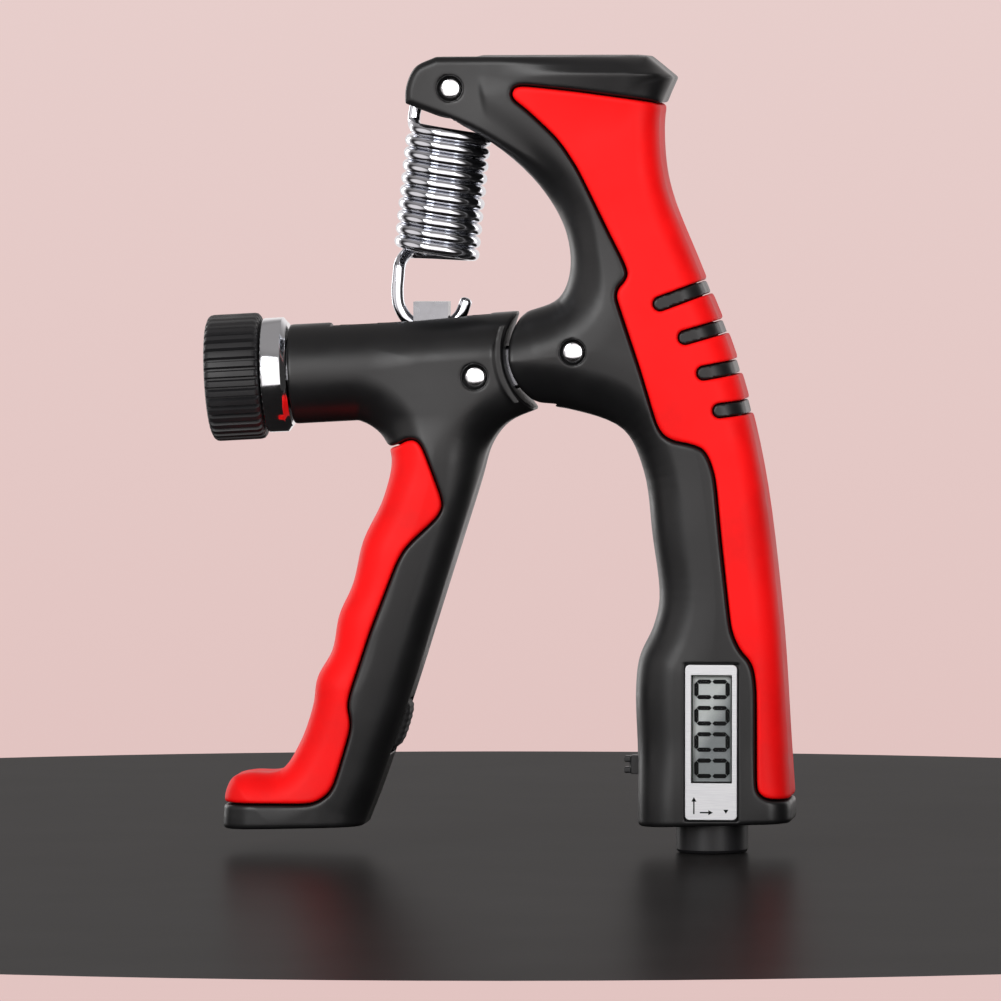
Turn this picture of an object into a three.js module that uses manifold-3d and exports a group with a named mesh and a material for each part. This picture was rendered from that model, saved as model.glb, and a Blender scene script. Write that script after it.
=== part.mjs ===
// Spring hand-grip trainer with an LCD repetition counter, as an assembly of separate pieces.
// Millimetres, +Z up. The outlines lie in the XZ plane, the handles are symmetric about y = 0,
// and the origin is on the ground under the middle of the part.
import * as THREE from 'three';
import { mergeVertices } from 'three/addons/utils/BufferGeometryUtils.js';
import Module from 'manifold-3d';

const wasm = await Module();
wasm.setup();

// ---- driving dimensions -------------------------------------------------------------------
const GAP = 0.3;                    // left between pieces that touch
const FAR = 200;                    // larger than the whole part

const MAIN_HALF = 12;               // half thickness of the main handle
const NOSE_HALF = 10;               // and of its nose, where the spring hangs
const LEVER_HALF = 11.5;            // half thickness of the lever
const EDGE = 4;                     // rounding of both handles' long edges
const EDGE_STEPS = 2;
const FLARE_HALF = 14.5;            // half width of the head at its crease
const NOSE_SHARE = 0.72;            // part of that width left at the nose
const FLARE_LOW = 149;              // height where the head starts to widen
const FLARE_CREASE = 156.2;
const HEAD_TOP = 159.9;
const BASE_Z = 5.6;                 // underside of the main handle
const SKIN = 2.9;                   // thickness of the soft grips at the edge
const SKIN_FACE = 2.3;              // thickness of the soft grips on the side faces
const WALL_INSET = 5.2;             // outline to hollow
const MAIN_HOLLOW_HALF = 7.4;
const LEVER_HOLLOW_HALF = 7;
const HANDLE_HOLLOW_Z = [47, 84];   // heights of the hollows inside the handles
const HEAD_HOLLOW_Z = [118, 148];
const LEVER_HOLLOW_Z = [14, 80];
const CHAMBER = { x: [33, 51.2], y: [-9, 9], z: [8.9, 42.4] };     // room for the counter

const PIVOT = [15.5, 100.6];        // lever pivot
const KNUCKLE_R = 13;               // round end of the main handle's neck
const LEVER_END_R = 14;             // hollow end of the lever around it
const LEVER_PIN = [-4.2, 95.6];
const SPRING_PIN = [-9.3, 153.2];
const PIN_R = 2;
const PIN_HEAD_R = 2.15;
const PIN_RECESS_R = 2.6;
const PIN_RECESS = 0.9;             // depth of the pin ends below the side faces

const SQUEEZE = 31;                 // swing of the lever, in degrees, with a little to spare
const LINK_HALF = 4.2;              // half thickness of the steel link
const LINK_HALF_WIDTH = 4;
const LINK_EYE_R = 6.5;

const TUBE_START = [-42, 95.745];   // centre of the tube's open end
const TUBE_TILT = Math.atan2(0.0558, 0.9984);
const TUBE_R = 10;
const TUBE_END = 43.2;              // length from the open end into the hub
const BORE_R = 7;
const BORE_LENGTH = 34.8;
const SLOT_HALF = 3.1;              // half width of the slot on top of the tube
const SLOT_FROM = 8.6;              // slot ends, measured along the tube
const SLOT_TO = 40.6;

const KNOB_R = 12.7;
const KNOB_LENGTH = 11;
const KNOB_RIBS = 40;
const RIB_DEPTH = 0.7;
const COLLAR_R = 11.5;
const COLLAR_LENGTH = 5.4;
const SCREW_BACK = 13.9;            // the screw's head starts this far outside the tube
const SCREW_R = 3;
const SCREW_LENGTH = 32.2;
const NUT_FROM = 19.2;              // slider nut along the tube
const NUT_LENGTH = 10.4;

const WIRE_R = 1.2;
const COIL_R = 7.4;                 // to the middle of the wire
const HOOK_R = 7;
const SPRING_TOP = [-9.8, 149.6];   // centre of the upper loop
const SPRING_LOW = [-13.8, 111.8];  // centre of the lower hook
const COIL_START = 4.95;            // distance from the upper loop's centre
const COIL_PITCH = 2.55;
const COIL_TURNS = 10;
const UPPER_TURNS = 4;              // turns down to the end of its upper and of its middle part
const MIDDLE_TURNS = 7;
const TURN_STEPS = 14;
const COIL_CLEAR = 9.7;             // radius kept free round the coil
const COIL_ROOM = 2.6;              // and beyond its ends
const EYE_DEPTH = HOOK_R + WIRE_R + GAP;    // hook's centre down to the slider's floor
const EYE_HALF = 3.5;
const EYE_TOP = 110.4;

const RESET_X = 42.7;
const RESET_R = 7.25;
const LABEL = { x: 43.35, z: 22.8, width: 10.35, height: 31 };
const WINDOW = { x: 43.45, z: 25.45, width: 8.15, height: 21.6 };

// ---- solids ---------------------------------------------------------------------------------
function solid(geometry) {
  const bare = geometry.index ? geometry.toNonIndexed() : geometry.clone();
  bare.deleteAttribute('normal');
  bare.deleteAttribute('uv');
  const merged = mergeVertices(bare, 1e-4);
  const corners = merged.index.array;
  const kept = [];
  for (let i = 0; i < corners.length; i += 3) {
    const [a, b, c] = corners.subarray(i, i + 3);
    if (a !== b && b !== c && c !== a) {
      kept.push(a, b, c);
    }
  }
  return new wasm.Manifold(new wasm.Mesh({
    numProp: 3,
    vertProperties: new Float32Array(merged.attributes.position.array),
    triVerts: new Uint32Array(kept),
  }));
}

function geometryOf(body) {
  const mesh = body.getMesh();
  const geometry = new THREE.BufferGeometry();
  geometry.setAttribute('position', new THREE.BufferAttribute(new Float32Array(mesh.vertProperties), 3));
  geometry.setIndex(new THREE.BufferAttribute(new Uint32Array(mesh.triVerts), 1));
  return geometry;
}

const cut = (body, ...tools) => tools.reduce((rest, tool) => rest.subtract(tool), body);
const join = (...bodies) => bodies.reduce((all, body) => all.add(body));

function shapeOf(points, holes = []) {
  const shape = new THREE.Shape(points.map(([x, z]) => new THREE.Vector2(x, z)));
  for (const hole of holes) {
    shape.holes.push(new THREE.Path(hole.map(([x, z]) => new THREE.Vector2(x, z))));
  }
  return shape;
}

// A plate in the XZ plane between two values of y.
function plate(points, yFrom, yTo) {
  const geometry = new THREE.ExtrudeGeometry(shapeOf(points), { depth: yTo - yFrom, bevelEnabled: false });
  geometry.translate(0, 0, -yTo);
  geometry.rotateX(Math.PI / 2);
  return solid(geometry);
}

const slab = (points, half) => plate(points, -half, half);

// A plate symmetric about y = 0 with rounded long edges inside its outline, given anticlockwise.
function roundedSlab(points, half, edge) {
  const layers = [];
  for (let i = 0; i <= EDGE_STEPS; i += 1) {
    const a = Math.PI / 2 * i / EDGE_STEPS;
    layers.push({ y: half - edge * (1 - Math.cos(a)), ring: insetCorners(points, edge * (1 - Math.sin(a))) });
  }
  layers.push(...layers.map(({ y, ring }) => ({ y: -y, ring })).reverse());
  const position = [];
  const triangle = (...corners) => corners.forEach(([x, y, z]) => position.push(x, y, z));
  const at = (layer, i) => [layer.ring[i % points.length][0], layer.y, layer.ring[i % points.length][1]];
  for (let n = 0; n + 1 < layers.length; n += 1) {
    const [front, back] = [layers[n], layers[n + 1]];
    for (let i = 0; i < points.length; i += 1) {
      triangle(at(front, i), at(front, i + 1), at(back, i + 1));
      triangle(at(front, i), at(back, i + 1), at(back, i));
    }
  }
  const cap = inset(points, edge);
  const flat = cap.map(([x, z]) => new THREE.Vector2(x, z));
  for (const [a, b, c] of THREE.ShapeUtils.triangulateShape(flat, [])) {
    triangle([cap[c][0], half, cap[c][1]], [cap[b][0], half, cap[b][1]], [cap[a][0], half, cap[a][1]]);
    triangle([cap[a][0], -half, cap[a][1]], [cap[b][0], -half, cap[b][1]], [cap[c][0], -half, cap[c][1]]);
  }
  const geometry = new THREE.BufferGeometry();
  geometry.setAttribute('position', new THREE.Float32BufferAttribute(position, 3));
  return solid(geometry);
}

function box([x0, x1], [y0, y1], [z0, z1]) {
  const geometry = new THREE.BoxGeometry(x1 - x0, y1 - y0, z1 - z0);
  geometry.translate((x0 + x1) / 2, (y0 + y1) / 2, (z0 + z1) / 2);
  return solid(geometry);
}

// A turned body from [radius, distance] pairs, its axis along +Y from the point at.
function turnedY(profile, [x, z], sides = 24) {
  const geometry = new THREE.LatheGeometry(profile.map(([r, d]) => new THREE.Vector2(r, d)), sides);
  geometry.translate(x, 0, z);
  return solid(geometry);
}

function turnedZ(profile, [x, y], sides = 28) {
  const geometry = new THREE.LatheGeometry(profile.map(([r, d]) => new THREE.Vector2(r, d)), sides);
  geometry.rotateX(Math.PI / 2);
  geometry.translate(x, y, 0);
  return solid(geometry);
}

// Moves a geometry that was made round the Y axis onto the tube's axis, its y becoming the distance
// from the tube's open end towards the pivot.
function ontoTube(geometry) {
  geometry.rotateZ(TUBE_TILT - Math.PI / 2);
  geometry.rotateX(Math.PI / 2);
  geometry.translate(TUBE_START[0], 0, TUBE_START[1]);
  return geometry;
}

function turnedTube(profile, sides = 32) {
  return solid(ontoTube(new THREE.LatheGeometry(profile.map(([r, d]) => new THREE.Vector2(r, d)), sides)));
}

const rod = (r, from, to) => [[0, from], [r, from], [r, to], [0, to]];
const ring = (inner, outer, from, to) => [
  [inner, from], [outer, from], [outer, to], [inner, to], [inner, from],
];

// ---- outlines -------------------------------------------------------------------------------
const signedArea = (points) => points.reduce((sum, [x, z], i) => {
  const [nx, nz] = points[(i + 1) % points.length];
  return sum + (x * nz - nx * z) / 2;
}, 0);

// Joins smooth stretches end to end into an anticlockwise outline. The last point of each stretch
// is the first of the next.
function outline(...stretches) {
  const points = [];
  for (const stretch of stretches) {
    points.push(...stretch.slice(0, -1));
  }
  return signedArea(points) > 0 ? points : points.reverse();
}

function smooth(points, steps) {
  const curve = new THREE.CatmullRomCurve3(
    points.map(([x, z]) => new THREE.Vector3(x, 0, z)), false, 'centripetal');
  return curve.getPoints(steps).map((p) => [p.x, p.z]);
}

function arc([cx, cz], r, fromDegrees, toDegrees, steps) {
  return Array.from({ length: steps + 1 }, (_, i) => {
    const a = THREE.MathUtils.degToRad(fromDegrees + (toDegrees - fromDegrees) * i / steps);
    return [cx + r * Math.cos(a), cz + r * Math.sin(a)];
  });
}

// Moves every edge of a closed outline inwards. Edges that shrink to nothing are dropped, and both
// of their ends then share one corner. Gives one corner for each point of the outline.
function insetCorners(points, distance) {
  const side = Math.sign(signedArea(points));
  let edges = points.map(([x, z], index) => {
    const [nx, nz] = points[(index + 1) % points.length];
    const length = Math.hypot(nx - x, nz - z);
    const [dx, dz] = [(nx - x) / length, (nz - z) / length];
    return { index, x: x - side * dz * distance, z: z + side * dx * distance, dx, dz };
  });
  for (;;) {
    const corners = edges.map((b, i) => {
      const a = edges[(i + edges.length - 1) % edges.length];
      const cross = a.dx * b.dz - a.dz * b.dx;
      if (Math.abs(cross) < 1e-6) {
        return [b.x, b.z];
      }
      const t = ((b.x - a.x) * b.dz - (b.z - a.z) * b.dx) / cross;
      return [a.x + a.dx * t, a.z + a.dz * t];
    });
    const lengths = edges.map((e, i) => {
      const [x, z] = corners[i];
      const [nx, nz] = corners[(i + 1) % corners.length];
      return (nx - x) * e.dx + (nz - z) * e.dz;
    });
    const shortest = Math.min(...lengths);
    if (shortest > 0.01) {
      return points.map((_, index) => {
        const next = edges.findIndex((e) => e.index >= index);
        return corners[Math.max(next, 0)];
      });
    }
    edges = edges.filter((_, i) => lengths[i] !== shortest);
  }
}

const inset = (points, distance) => insetCorners(points, distance)
  .filter((corner, i, all) => corner !== all[(i + 1) % all.length]);

const MAIN_OUTLINE = outline(
  smooth([[-18.4, 150.2], [-18.2, 153.6], [-16.4, 157.4], [-12.2, 159.5]], 5),
  [[-12.2, 159.5], [20, HEAD_TOP], [30.1, HEAD_TOP], [35.2, 155.4]],
  smooth([[35.2, 155.4], [32.9, 149.4], [32.7, 141], [34.1, 132.8], [40.4, 116.9], [47.2, 99.6],
    [52.7, 78.2], [56.6, 47.8], [58.3, 22.5], [59.1, 9.4]], 20),
  [[59.1, 9.4], [56.4, BASE_Z + 0.5], [31, BASE_Z], [27.9, 7.9]],
  smooth([[27.9, 7.9], [27.6, 20], [27.2, 33.4], [28.3, 39.6], [31.1, 45.6], [32.3, 51.2], [30.9, 63.8],
    [29.6, 76.8], [25, 84.9], [14.2, 88.9], [8.2, 89.6]], 24),
  arc(PIVOT, KNUCKLE_R, 236.3, 143.5, 12),
  smooth([[5.05, 108.3], [11.9, 111.2], [14.3, 117], [13.3, 125.2], [8.4, 134], [-3.2, 143.8],
    [-18.4, 150.2]], 18),
);

// The soft grip of the main handle: its edge on the side faces, then round outside the back.
const MAIN_GRIP_AREA = [
  [2.9, 151.4], [3.9, 154], [16.4, 152.7], [31.7, 150.6], [34, 149.5], [FAR, 149.5], [FAR, 11.2],
  [55, 11.2], [53, 12.2], [52.3, 13.8], [52.2, 34], [51.4, 38.6], [49, 41], [47.2, 45], [45.2, 63.2],
  [44, 76], [42.3, 80.7], [40, 82.1], [34.7, 83], [32.4, 85.4], [29.2, 96.5], [25.1, 108.7],
  [23.8, 112.6], [26.6, 115.6], [26, 118], [22.5, 124.8], [16.4, 137.3], [12.6, 143], [6.2, 149],
];

// Finger slots through the soft grip, as the two ends of each slot's middle line.
const GRIP_SLOTS = [
  [[33, 110.3], [46, 115.2]],
  [[38, 103.6], [50, 107.1]],
  [[41.7, 96.5], [53, 98.6]],
  [[44.9, 89], [56, 90.4]],
];
const GRIP_SLOT_R = 1.4;

// Screws that hold the handles' two halves together.
const MAIN_SCREWS = [[19.5, 121], [24, 92], [39, 48]];
const LEVER_SCREWS = [[-12, 84], [-28.6, 12.5]];
const SCREW_SHANK_R = 1.2;
const SCREW_WELL_R = 2.9;
const SCREW_WELL = 9.2;             // where the well for a screw's head starts

const TUBE_DIRECTION = [Math.cos(TUBE_TILT), Math.sin(TUBE_TILT)];
const alongTube = (d, up = 0) => [
  TUBE_START[0] + d * TUBE_DIRECTION[0] - up * TUBE_DIRECTION[1],
  TUBE_START[1] + d * TUBE_DIRECTION[1] + up * TUBE_DIRECTION[0],
];

const LEVER_OUTLINE = outline(
  [[-14, 99], alongTube(28, TUBE_R - 0.2), [4.2, 108.6]],
  arc(PIVOT, LEVER_END_R, 145.2, 236, 12),
  smooth([[7.67, 88.99], [1.6, 86.2], [-1.7, 82], [-4, 74.8], [-12, 49.5], [-17.5, 32], [-24.1, 12.8],
    [-26.6, 6.4]], 16),
  [[-26.6, 6.4], [-29.4, 4.7], [-52.8, 4.7], [-55.2, 7], [-53.2, 12.2]],
  smooth([[-53.2, 12.2], [-50.4, 15.2], [-43.3, 16.3], [-40, 21.8], [-37.3, 29.4], [-36.4, 35],
    [-33.4, 40.6], [-32, 47.6], [-29.2, 54], [-27.2, 62.4], [-23, 71.4], [-21.6, 79.2], [-24.9, 85.5]], 30),
  [[-24.9, 85.5], [-24, 92], [-14, 99]],
);

const LEVER_GRIP_AREA = [
  [-FAR, 84], [-23, 84], [-20.5, 81.8], [-17.5, 83.2], [-15.3, 82.6], [-13.7, 79.1], [-10.7, 70.9],
  [-10.9, 68.7], [-12.6, 66.5], [-17.5, 62.1], [-19.7, 58.8], [-25.2, 44.5], [-30, 30], [-28.9, 25.6],
  [-32.6, 13.3], [-34.5, 11], [-37.3, 9.7], [-FAR, 9.7],
];

const PAD_OUTLINE = [
  [-19.6, 31.4], [-17.3, 29.4], [-19.7, 21.3], [-22.9, 19.6], [-24.2, 20.4], [-20.8, 31.4],
];
const PAD_HALF = 4.4;

// ---- link between the lever and the pivot -----------------------------------------------------
const LINK_ANGLE = THREE.MathUtils.radToDeg(Math.atan2(PIVOT[1] - LEVER_PIN[1], PIVOT[0] - LEVER_PIN[0]));
const LINK_OUTLINE = [
  ...arc(LEVER_PIN, LINK_HALF_WIDTH, LINK_ANGLE + 90, LINK_ANGLE + 270, 8),
  ...arc(PIVOT, LINK_EYE_R, LINK_ANGLE - 142, LINK_ANGLE + 142, 18),
];

// ---- both handles -----------------------------------------------------------------------------
const halfSpace = (side) => (side < 0
  ? box([-FAR, FAR], [-FAR, -GAP / 2], [-FAR, FAR])
  : box([-FAR, FAR], [GAP / 2, FAR], [-FAR, FAR]));

const pinHole = (at, half) => join(
  turnedY(rod(PIN_R + GAP, -half, half), at),
  turnedY(rod(PIN_RECESS_R, -FAR, 2 * PIN_RECESS - half), at),
  turnedY(rod(PIN_RECESS_R, half - 2 * PIN_RECESS, FAR), at));

const grownArea = (points) => inset(points, -GAP);

function capsule([[x0, z0], [x1, z1]], r) {
  const lean = THREE.MathUtils.radToDeg(Math.atan2(z1 - z0, x1 - x0));
  return [...arc([x0, z0], r, lean + 90, lean + 270, 6), ...arc([x1, z1], r, lean - 90, lean + 90, 6)];
}

function caseScrewHole([x, z]) {
  return join(
    turnedY(rod(SCREW_SHANK_R + GAP, 0, FAR), [x, z], 14),
    turnedY(rod(SCREW_WELL_R, SCREW_WELL, FAR), [x, z], 14));
}

// The space that the link's straight part sweeps through the neck, from rest to a full squeeze.
function linkSweep() {
  const halfWidth = LINK_HALF_WIDTH + 0.7;
  const reach = 18;
  const from = (degrees, distance, start = PIVOT) => arc(start, distance, degrees, degrees, 1)[0];
  const top = from(LINK_ANGLE + 90, halfWidth);
  const bottom = from(LINK_ANGLE + SQUEEZE + 270, halfWidth);
  return [
    top, from(LINK_ANGLE + 180, reach, top),
    ...arc(PIVOT, reach, LINK_ANGLE + 180, LINK_ANGLE + SQUEEZE + 180, 3),
    from(LINK_ANGLE + SQUEEZE + 180, reach, bottom), bottom,
  ];
}

function buildMain() {
  const flareSection = [
    [-MAIN_HALF + 1, FLARE_LOW - 6], [-MAIN_HALF, FLARE_LOW], [-FLARE_HALF, FLARE_CREASE],
    [-FLARE_HALF + 3, HEAD_TOP + 1], [FLARE_HALF - 3, HEAD_TOP + 1], [FLARE_HALF, FLARE_CREASE],
    [MAIN_HALF, FLARE_LOW], [MAIN_HALF - 1, FLARE_LOW - 6],
  ];
  const flare = new THREE.ExtrudeGeometry(shapeOf(flareSection), { depth: 50, bevelEnabled: false });
  flare.rotateX(Math.PI / 2);
  flare.rotateZ(Math.PI / 2);
  flare.translate(-10, 0, 0);
  // The head is widest at the back and narrows evenly towards the nose.
  const at = flare.attributes.position;
  for (let i = 0; i < at.count; i += 1) {
    at.setY(i, at.getY(i) * (at.getX(i) > 0 ? 1 : NOSE_SHARE));
  }
  const head = solid(flare).intersect(slab(MAIN_OUTLINE, FAR));
  const body = join(roundedSlab(MAIN_OUTLINE, MAIN_HALF, EDGE), head);

  const slots = GRIP_SLOTS.map((line) => slab(capsule(line, GRIP_SLOT_R), FAR));
  const grip = cut(
    body.intersect(slab(MAIN_GRIP_AREA, FAR)),
    slab(inset(MAIN_OUTLINE, SKIN), MAIN_HALF - SKIN_FACE),
    ...slots);

  const core = slab(inset(MAIN_OUTLINE, SKIN + GAP), MAIN_HALF - SKIN_FACE - GAP);
  const hollow = inset(MAIN_OUTLINE, WALL_INSET);
  const handleHollow = slab(hollow, MAIN_HOLLOW_HALF).intersect(box([0, FAR], [-FAR, FAR], HANDLE_HOLLOW_Z));
  const headHollow = slab(hollow, MAIN_HOLLOW_HALF).intersect(box([12, FAR], [-FAR, FAR], HEAD_HOLLOW_Z));
  const chamber = box(CHAMBER.x, CHAMBER.y, CHAMBER.z);
  const linkSpace = join(
    turnedY(rod(LINK_EYE_R + 0.7, -5.4, 5.4), PIVOT),
    slab(linkSweep(), LINK_HALF + 0.5));
  const springSlot = slab([[-30, 130], [-30, 158.4], [-3, 158.4], [1, 154], [1, 130]], 1.9);
  const coilSpace = springTool(COIL_CLEAR, COIL_START - COIL_ROOM, COIL_END + COIL_ROOM);
  const resetBore = turnedZ(rod(RESET_R + GAP, 0, 12), [RESET_X, 0]);
  const triggerBore = box([20, 34], [-2.3, 2.3], [15.4, 19.8]);
  const labelPocket = box(
    [LABEL.x - LABEL.width / 2 - GAP, LABEL.x + LABEL.width / 2 + GAP], [-FAR, -11],
    [LABEL.z - LABEL.height / 2 - GAP, LABEL.z + LABEL.height / 2 + GAP]);
  const windowHole = box(
    [WINDOW.x - WINDOW.width / 2 - GAP, WINDOW.x + WINDOW.width / 2 + GAP], [-FAR, -8],
    [WINDOW.z - WINDOW.height / 2 - GAP, WINDOW.z + WINDOW.height / 2 + GAP]);
  const shell = cut(
    join(cut(body, slab(grownArea(MAIN_GRIP_AREA), FAR)), core.intersect(body)),
    handleHollow, headHollow, chamber, linkSpace, springSlot, coilSpace, resetBore, triggerBore,
    labelPocket, windowHole, pinHole(PIVOT, MAIN_HALF), pinHole(SPRING_PIN, NOSE_HALF),
    ...MAIN_SCREWS.map(caseScrewHole));
  return {
    grip,
    near: shell.intersect(halfSpace(-1)),
    far: shell.intersect(halfSpace(1)),
  };
}

function buildLever() {
  const tube = turnedTube(rod(TUBE_R, 0, TUBE_END));
  const body = cut(
    join(roundedSlab(LEVER_OUTLINE, LEVER_HALF, EDGE), tube),
    turnedY(rod(LEVER_END_R, -FAR, FAR), PIVOT, 64));
  const grip = cut(
    body.intersect(slab(LEVER_GRIP_AREA, FAR)),
    slab(inset(LEVER_OUTLINE, SKIN), LEVER_HALF - SKIN_FACE));
  const core = slab(inset(LEVER_OUTLINE, SKIN + GAP), LEVER_HALF - SKIN_FACE - GAP);
  const hollow = slab(inset(LEVER_OUTLINE, WALL_INSET), LEVER_HOLLOW_HALF)
    .intersect(box([-FAR, FAR], [-FAR, FAR], LEVER_HOLLOW_Z));
  const bore = turnedTube(rod(BORE_R, -5, BORE_LENGTH));
  const slot = slab([
    alongTube(SLOT_FROM, 3), alongTube(SLOT_TO, 3), alongTube(SLOT_TO, 20), alongTube(SLOT_FROM, 20),
  ], SLOT_HALF);
  const linkSpace = slab(grownArea(LINK_OUTLINE), LINK_HALF + GAP);
  const shell = cut(
    join(cut(body, slab(grownArea(LEVER_GRIP_AREA), FAR)), core.intersect(body)),
    hollow, bore, slot, linkSpace, pinHole(LEVER_PIN, LEVER_HALF),
    slab(grownArea(PAD_OUTLINE), PAD_HALF + GAP),
    ...LEVER_SCREWS.map(caseScrewHole));
  return {
    grip,
    near: shell.intersect(halfSpace(-1)),
    far: shell.intersect(halfSpace(1)),
  };
}

const linkPlate = () => cut(
  slab(LINK_OUTLINE, LINK_HALF),
  turnedY(rod(3.9, -FAR, FAR), PIVOT),
  turnedY(rod(PIN_R + GAP, -FAR, FAR), LEVER_PIN));

const pin = (at, half) => {
  const end = half - PIN_RECESS;
  return turnedY([
    [0, -end], [1.5, -end], [PIN_HEAD_R, 0.7 - end], [PIN_HEAD_R, 1.6 - end], [PIN_R, 1.6 - end],
    [PIN_R, end - 1.6], [PIN_HEAD_R, end - 1.6], [PIN_HEAD_R, end - 0.7], [1.5, end], [0, end],
  ], at);
};

const caseScrew = (at) => turnedY([
  [0, 1.5], [SCREW_SHANK_R, 2.5], [SCREW_SHANK_R, 9.6], [2.5, 9.6], [2.5, 10.4], [1.2, 10.8], [0, 10.8],
], at, 14);

// ---- spring -----------------------------------------------------------------------------------
const SPRING_LENGTH = Math.hypot(SPRING_LOW[0] - SPRING_TOP[0], SPRING_LOW[1] - SPRING_TOP[1]);
const SPRING_DOWN = [
  (SPRING_LOW[0] - SPRING_TOP[0]) / SPRING_LENGTH,
  (SPRING_LOW[1] - SPRING_TOP[1]) / SPRING_LENGTH,
];
const COIL_END = COIL_START + COIL_PITCH * COIL_TURNS;

// A point at a distance down the spring's axis, across it to the right, and at depth y.
const springPoint = (down, right, y) => new THREE.Vector3(
  SPRING_TOP[0] + down * SPRING_DOWN[0] - right * SPRING_DOWN[1], y,
  SPRING_TOP[1] + down * SPRING_DOWN[1] + right * SPRING_DOWN[0]);

// A rod along the spring's axis, used to keep the coil's space free.
function springTool(r, from, to) {
  const geometry = new THREE.LatheGeometry(rod(r, from, to).map(([x, y]) => new THREE.Vector2(x, y)), 24);
  geometry.rotateZ(Math.PI - Math.atan2(-SPRING_DOWN[0], -SPRING_DOWN[1]));
  geometry.rotateX(Math.PI / 2);
  geometry.translate(SPRING_TOP[0], 0, SPRING_TOP[1]);
  return solid(geometry);
}

function coilPoint(turn) {
  const a = 2 * Math.PI * turn;
  return springPoint(COIL_START + COIL_PITCH * turn, -COIL_R * Math.cos(a), -COIL_R * Math.sin(a));
}

function coilPoints(fromTurn, toTurn) {
  const count = Math.round((toTurn - fromTurn) * TURN_STEPS);
  return Array.from({ length: count + 1 }, (_, i) => coilPoint(fromTurn + (toTurn - fromTurn) * i / count));
}

function wire(points) {
  const circle = shapeOf(arc([0, 0], WIRE_R, 0, 360, 7).slice(0, -1));
  const path = new THREE.CatmullRomCurve3(points, false, 'centripetal');
  return new THREE.ExtrudeGeometry(circle, { steps: Math.round(points.length * 1.2), extrudePath: path });
}

const SPLIT = 0.012;                // half of the gap between two parts of the spring, in turns
const CORNER = 0.09;                // how far a coil's end stops short of its hook, in turns

// The spring is one wire, kept as three solids so that it can lengthen.
function springUpper() {
  const points = [];
  for (const degrees of [-10, 15, 40, 65, 90, 115, 140, 165]) {
    const a = THREE.MathUtils.degToRad(degrees);
    points.push(springPoint(-HOOK_R * Math.sin(a), HOOK_R * Math.cos(a), 0));
  }
  points.push(springPoint(COIL_START - 3, -COIL_R + 0.1, 0));
  points.push(springPoint(COIL_START - 0.9, -COIL_R + 0.2, -0.5));
  points.push(...coilPoints(CORNER, UPPER_TURNS - SPLIT));
  return wire(points);
}

const springMiddle = () => wire(coilPoints(UPPER_TURNS + SPLIT, MIDDLE_TURNS - SPLIT));

function springLower() {
  const points = coilPoints(MIDDLE_TURNS + SPLIT, COIL_TURNS - CORNER);
  points.push(springPoint(COIL_END + 1.9, -COIL_R + 0.3, 0.7));
  points.push(springPoint(COIL_END + 4.6, -HOOK_R - 0.1, 0));
  for (const degrees of [180, 205, 230, 255, 280, 305, 330, 355]) {
    const a = THREE.MathUtils.degToRad(degrees);
    points.push(springPoint(SPRING_LENGTH - HOOK_R * Math.sin(a), HOOK_R * Math.cos(a), 0));
  }
  return wire(points);
}

// ---- tension adjuster on the tube -------------------------------------------------------------
function knob() {
  const points = [];
  for (let i = 0; i < KNOB_RIBS; i += 1) {
    const valley = KNOB_R - RIB_DEPTH;
    for (const [share, r] of [[0.1, valley], [0.3, KNOB_R], [0.8, KNOB_R], [1, valley]]) {
      const a = 2 * Math.PI * (i + share) / KNOB_RIBS;
      points.push([r * Math.cos(a), r * Math.sin(a)]);
    }
  }
  const geometry = new THREE.ExtrudeGeometry(shapeOf(points), {
    depth: KNOB_LENGTH - 1.2, bevelThickness: 0.6, bevelSize: 0.6, bevelOffset: -0.6, bevelSegments: 1,
  });
  geometry.translate(0, 0, 0.6 - KNOB_LENGTH - COLLAR_LENGTH - GAP);
  geometry.rotateX(-Math.PI / 2);
  return cut(solid(ontoTube(geometry)), turnedTube(rod(6, -SCREW_BACK - GAP, 0), 24));
}

const adjustScrew = () => turnedTube([
  [0, -SCREW_BACK], [5.6, -SCREW_BACK], [5.6, -6.6], [SCREW_R, -6.6],
  [SCREW_R, 4.9], [2.4, 4.9], [2.4, 6.1], [SCREW_R, 6.1],
  [SCREW_R, SCREW_LENGTH - 1], [2, SCREW_LENGTH - 0.4], [0, SCREW_LENGTH - 0.4],
], 24);

const tubeCollar = () => turnedTube([
  [4.9, -COLLAR_LENGTH], [COLLAR_R - 0.6, -COLLAR_LENGTH], [COLLAR_R, 0.6 - COLLAR_LENGTH],
  [COLLAR_R, -GAP - 0.6],
  [COLLAR_R - 0.6, -GAP], [BORE_R - GAP, -GAP], [BORE_R - GAP, 4], [4.9, 4], [4.9, -COLLAR_LENGTH],
]);

const screwBush = () => turnedTube(ring(SCREW_R + GAP, 4.6, -COLLAR_LENGTH, 4), 24);
const retainingRing = () => turnedTube(ring(2.7, 5.4, 5, 6), 24);

function sliderNut() {
  const nut = turnedTube(rod(BORE_R - GAP, NUT_FROM, NUT_FROM + NUT_LENGTH), 28);
  const hole = turnedTube(rod(SCREW_R + GAP, 0, TUBE_END), 24);
  const floor = SPRING_LOW[1] - EYE_DEPTH - GAP;
  return cut(nut, hole, box([-FAR, FAR], [-FAR, FAR], [floor, FAR]));
}

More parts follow.
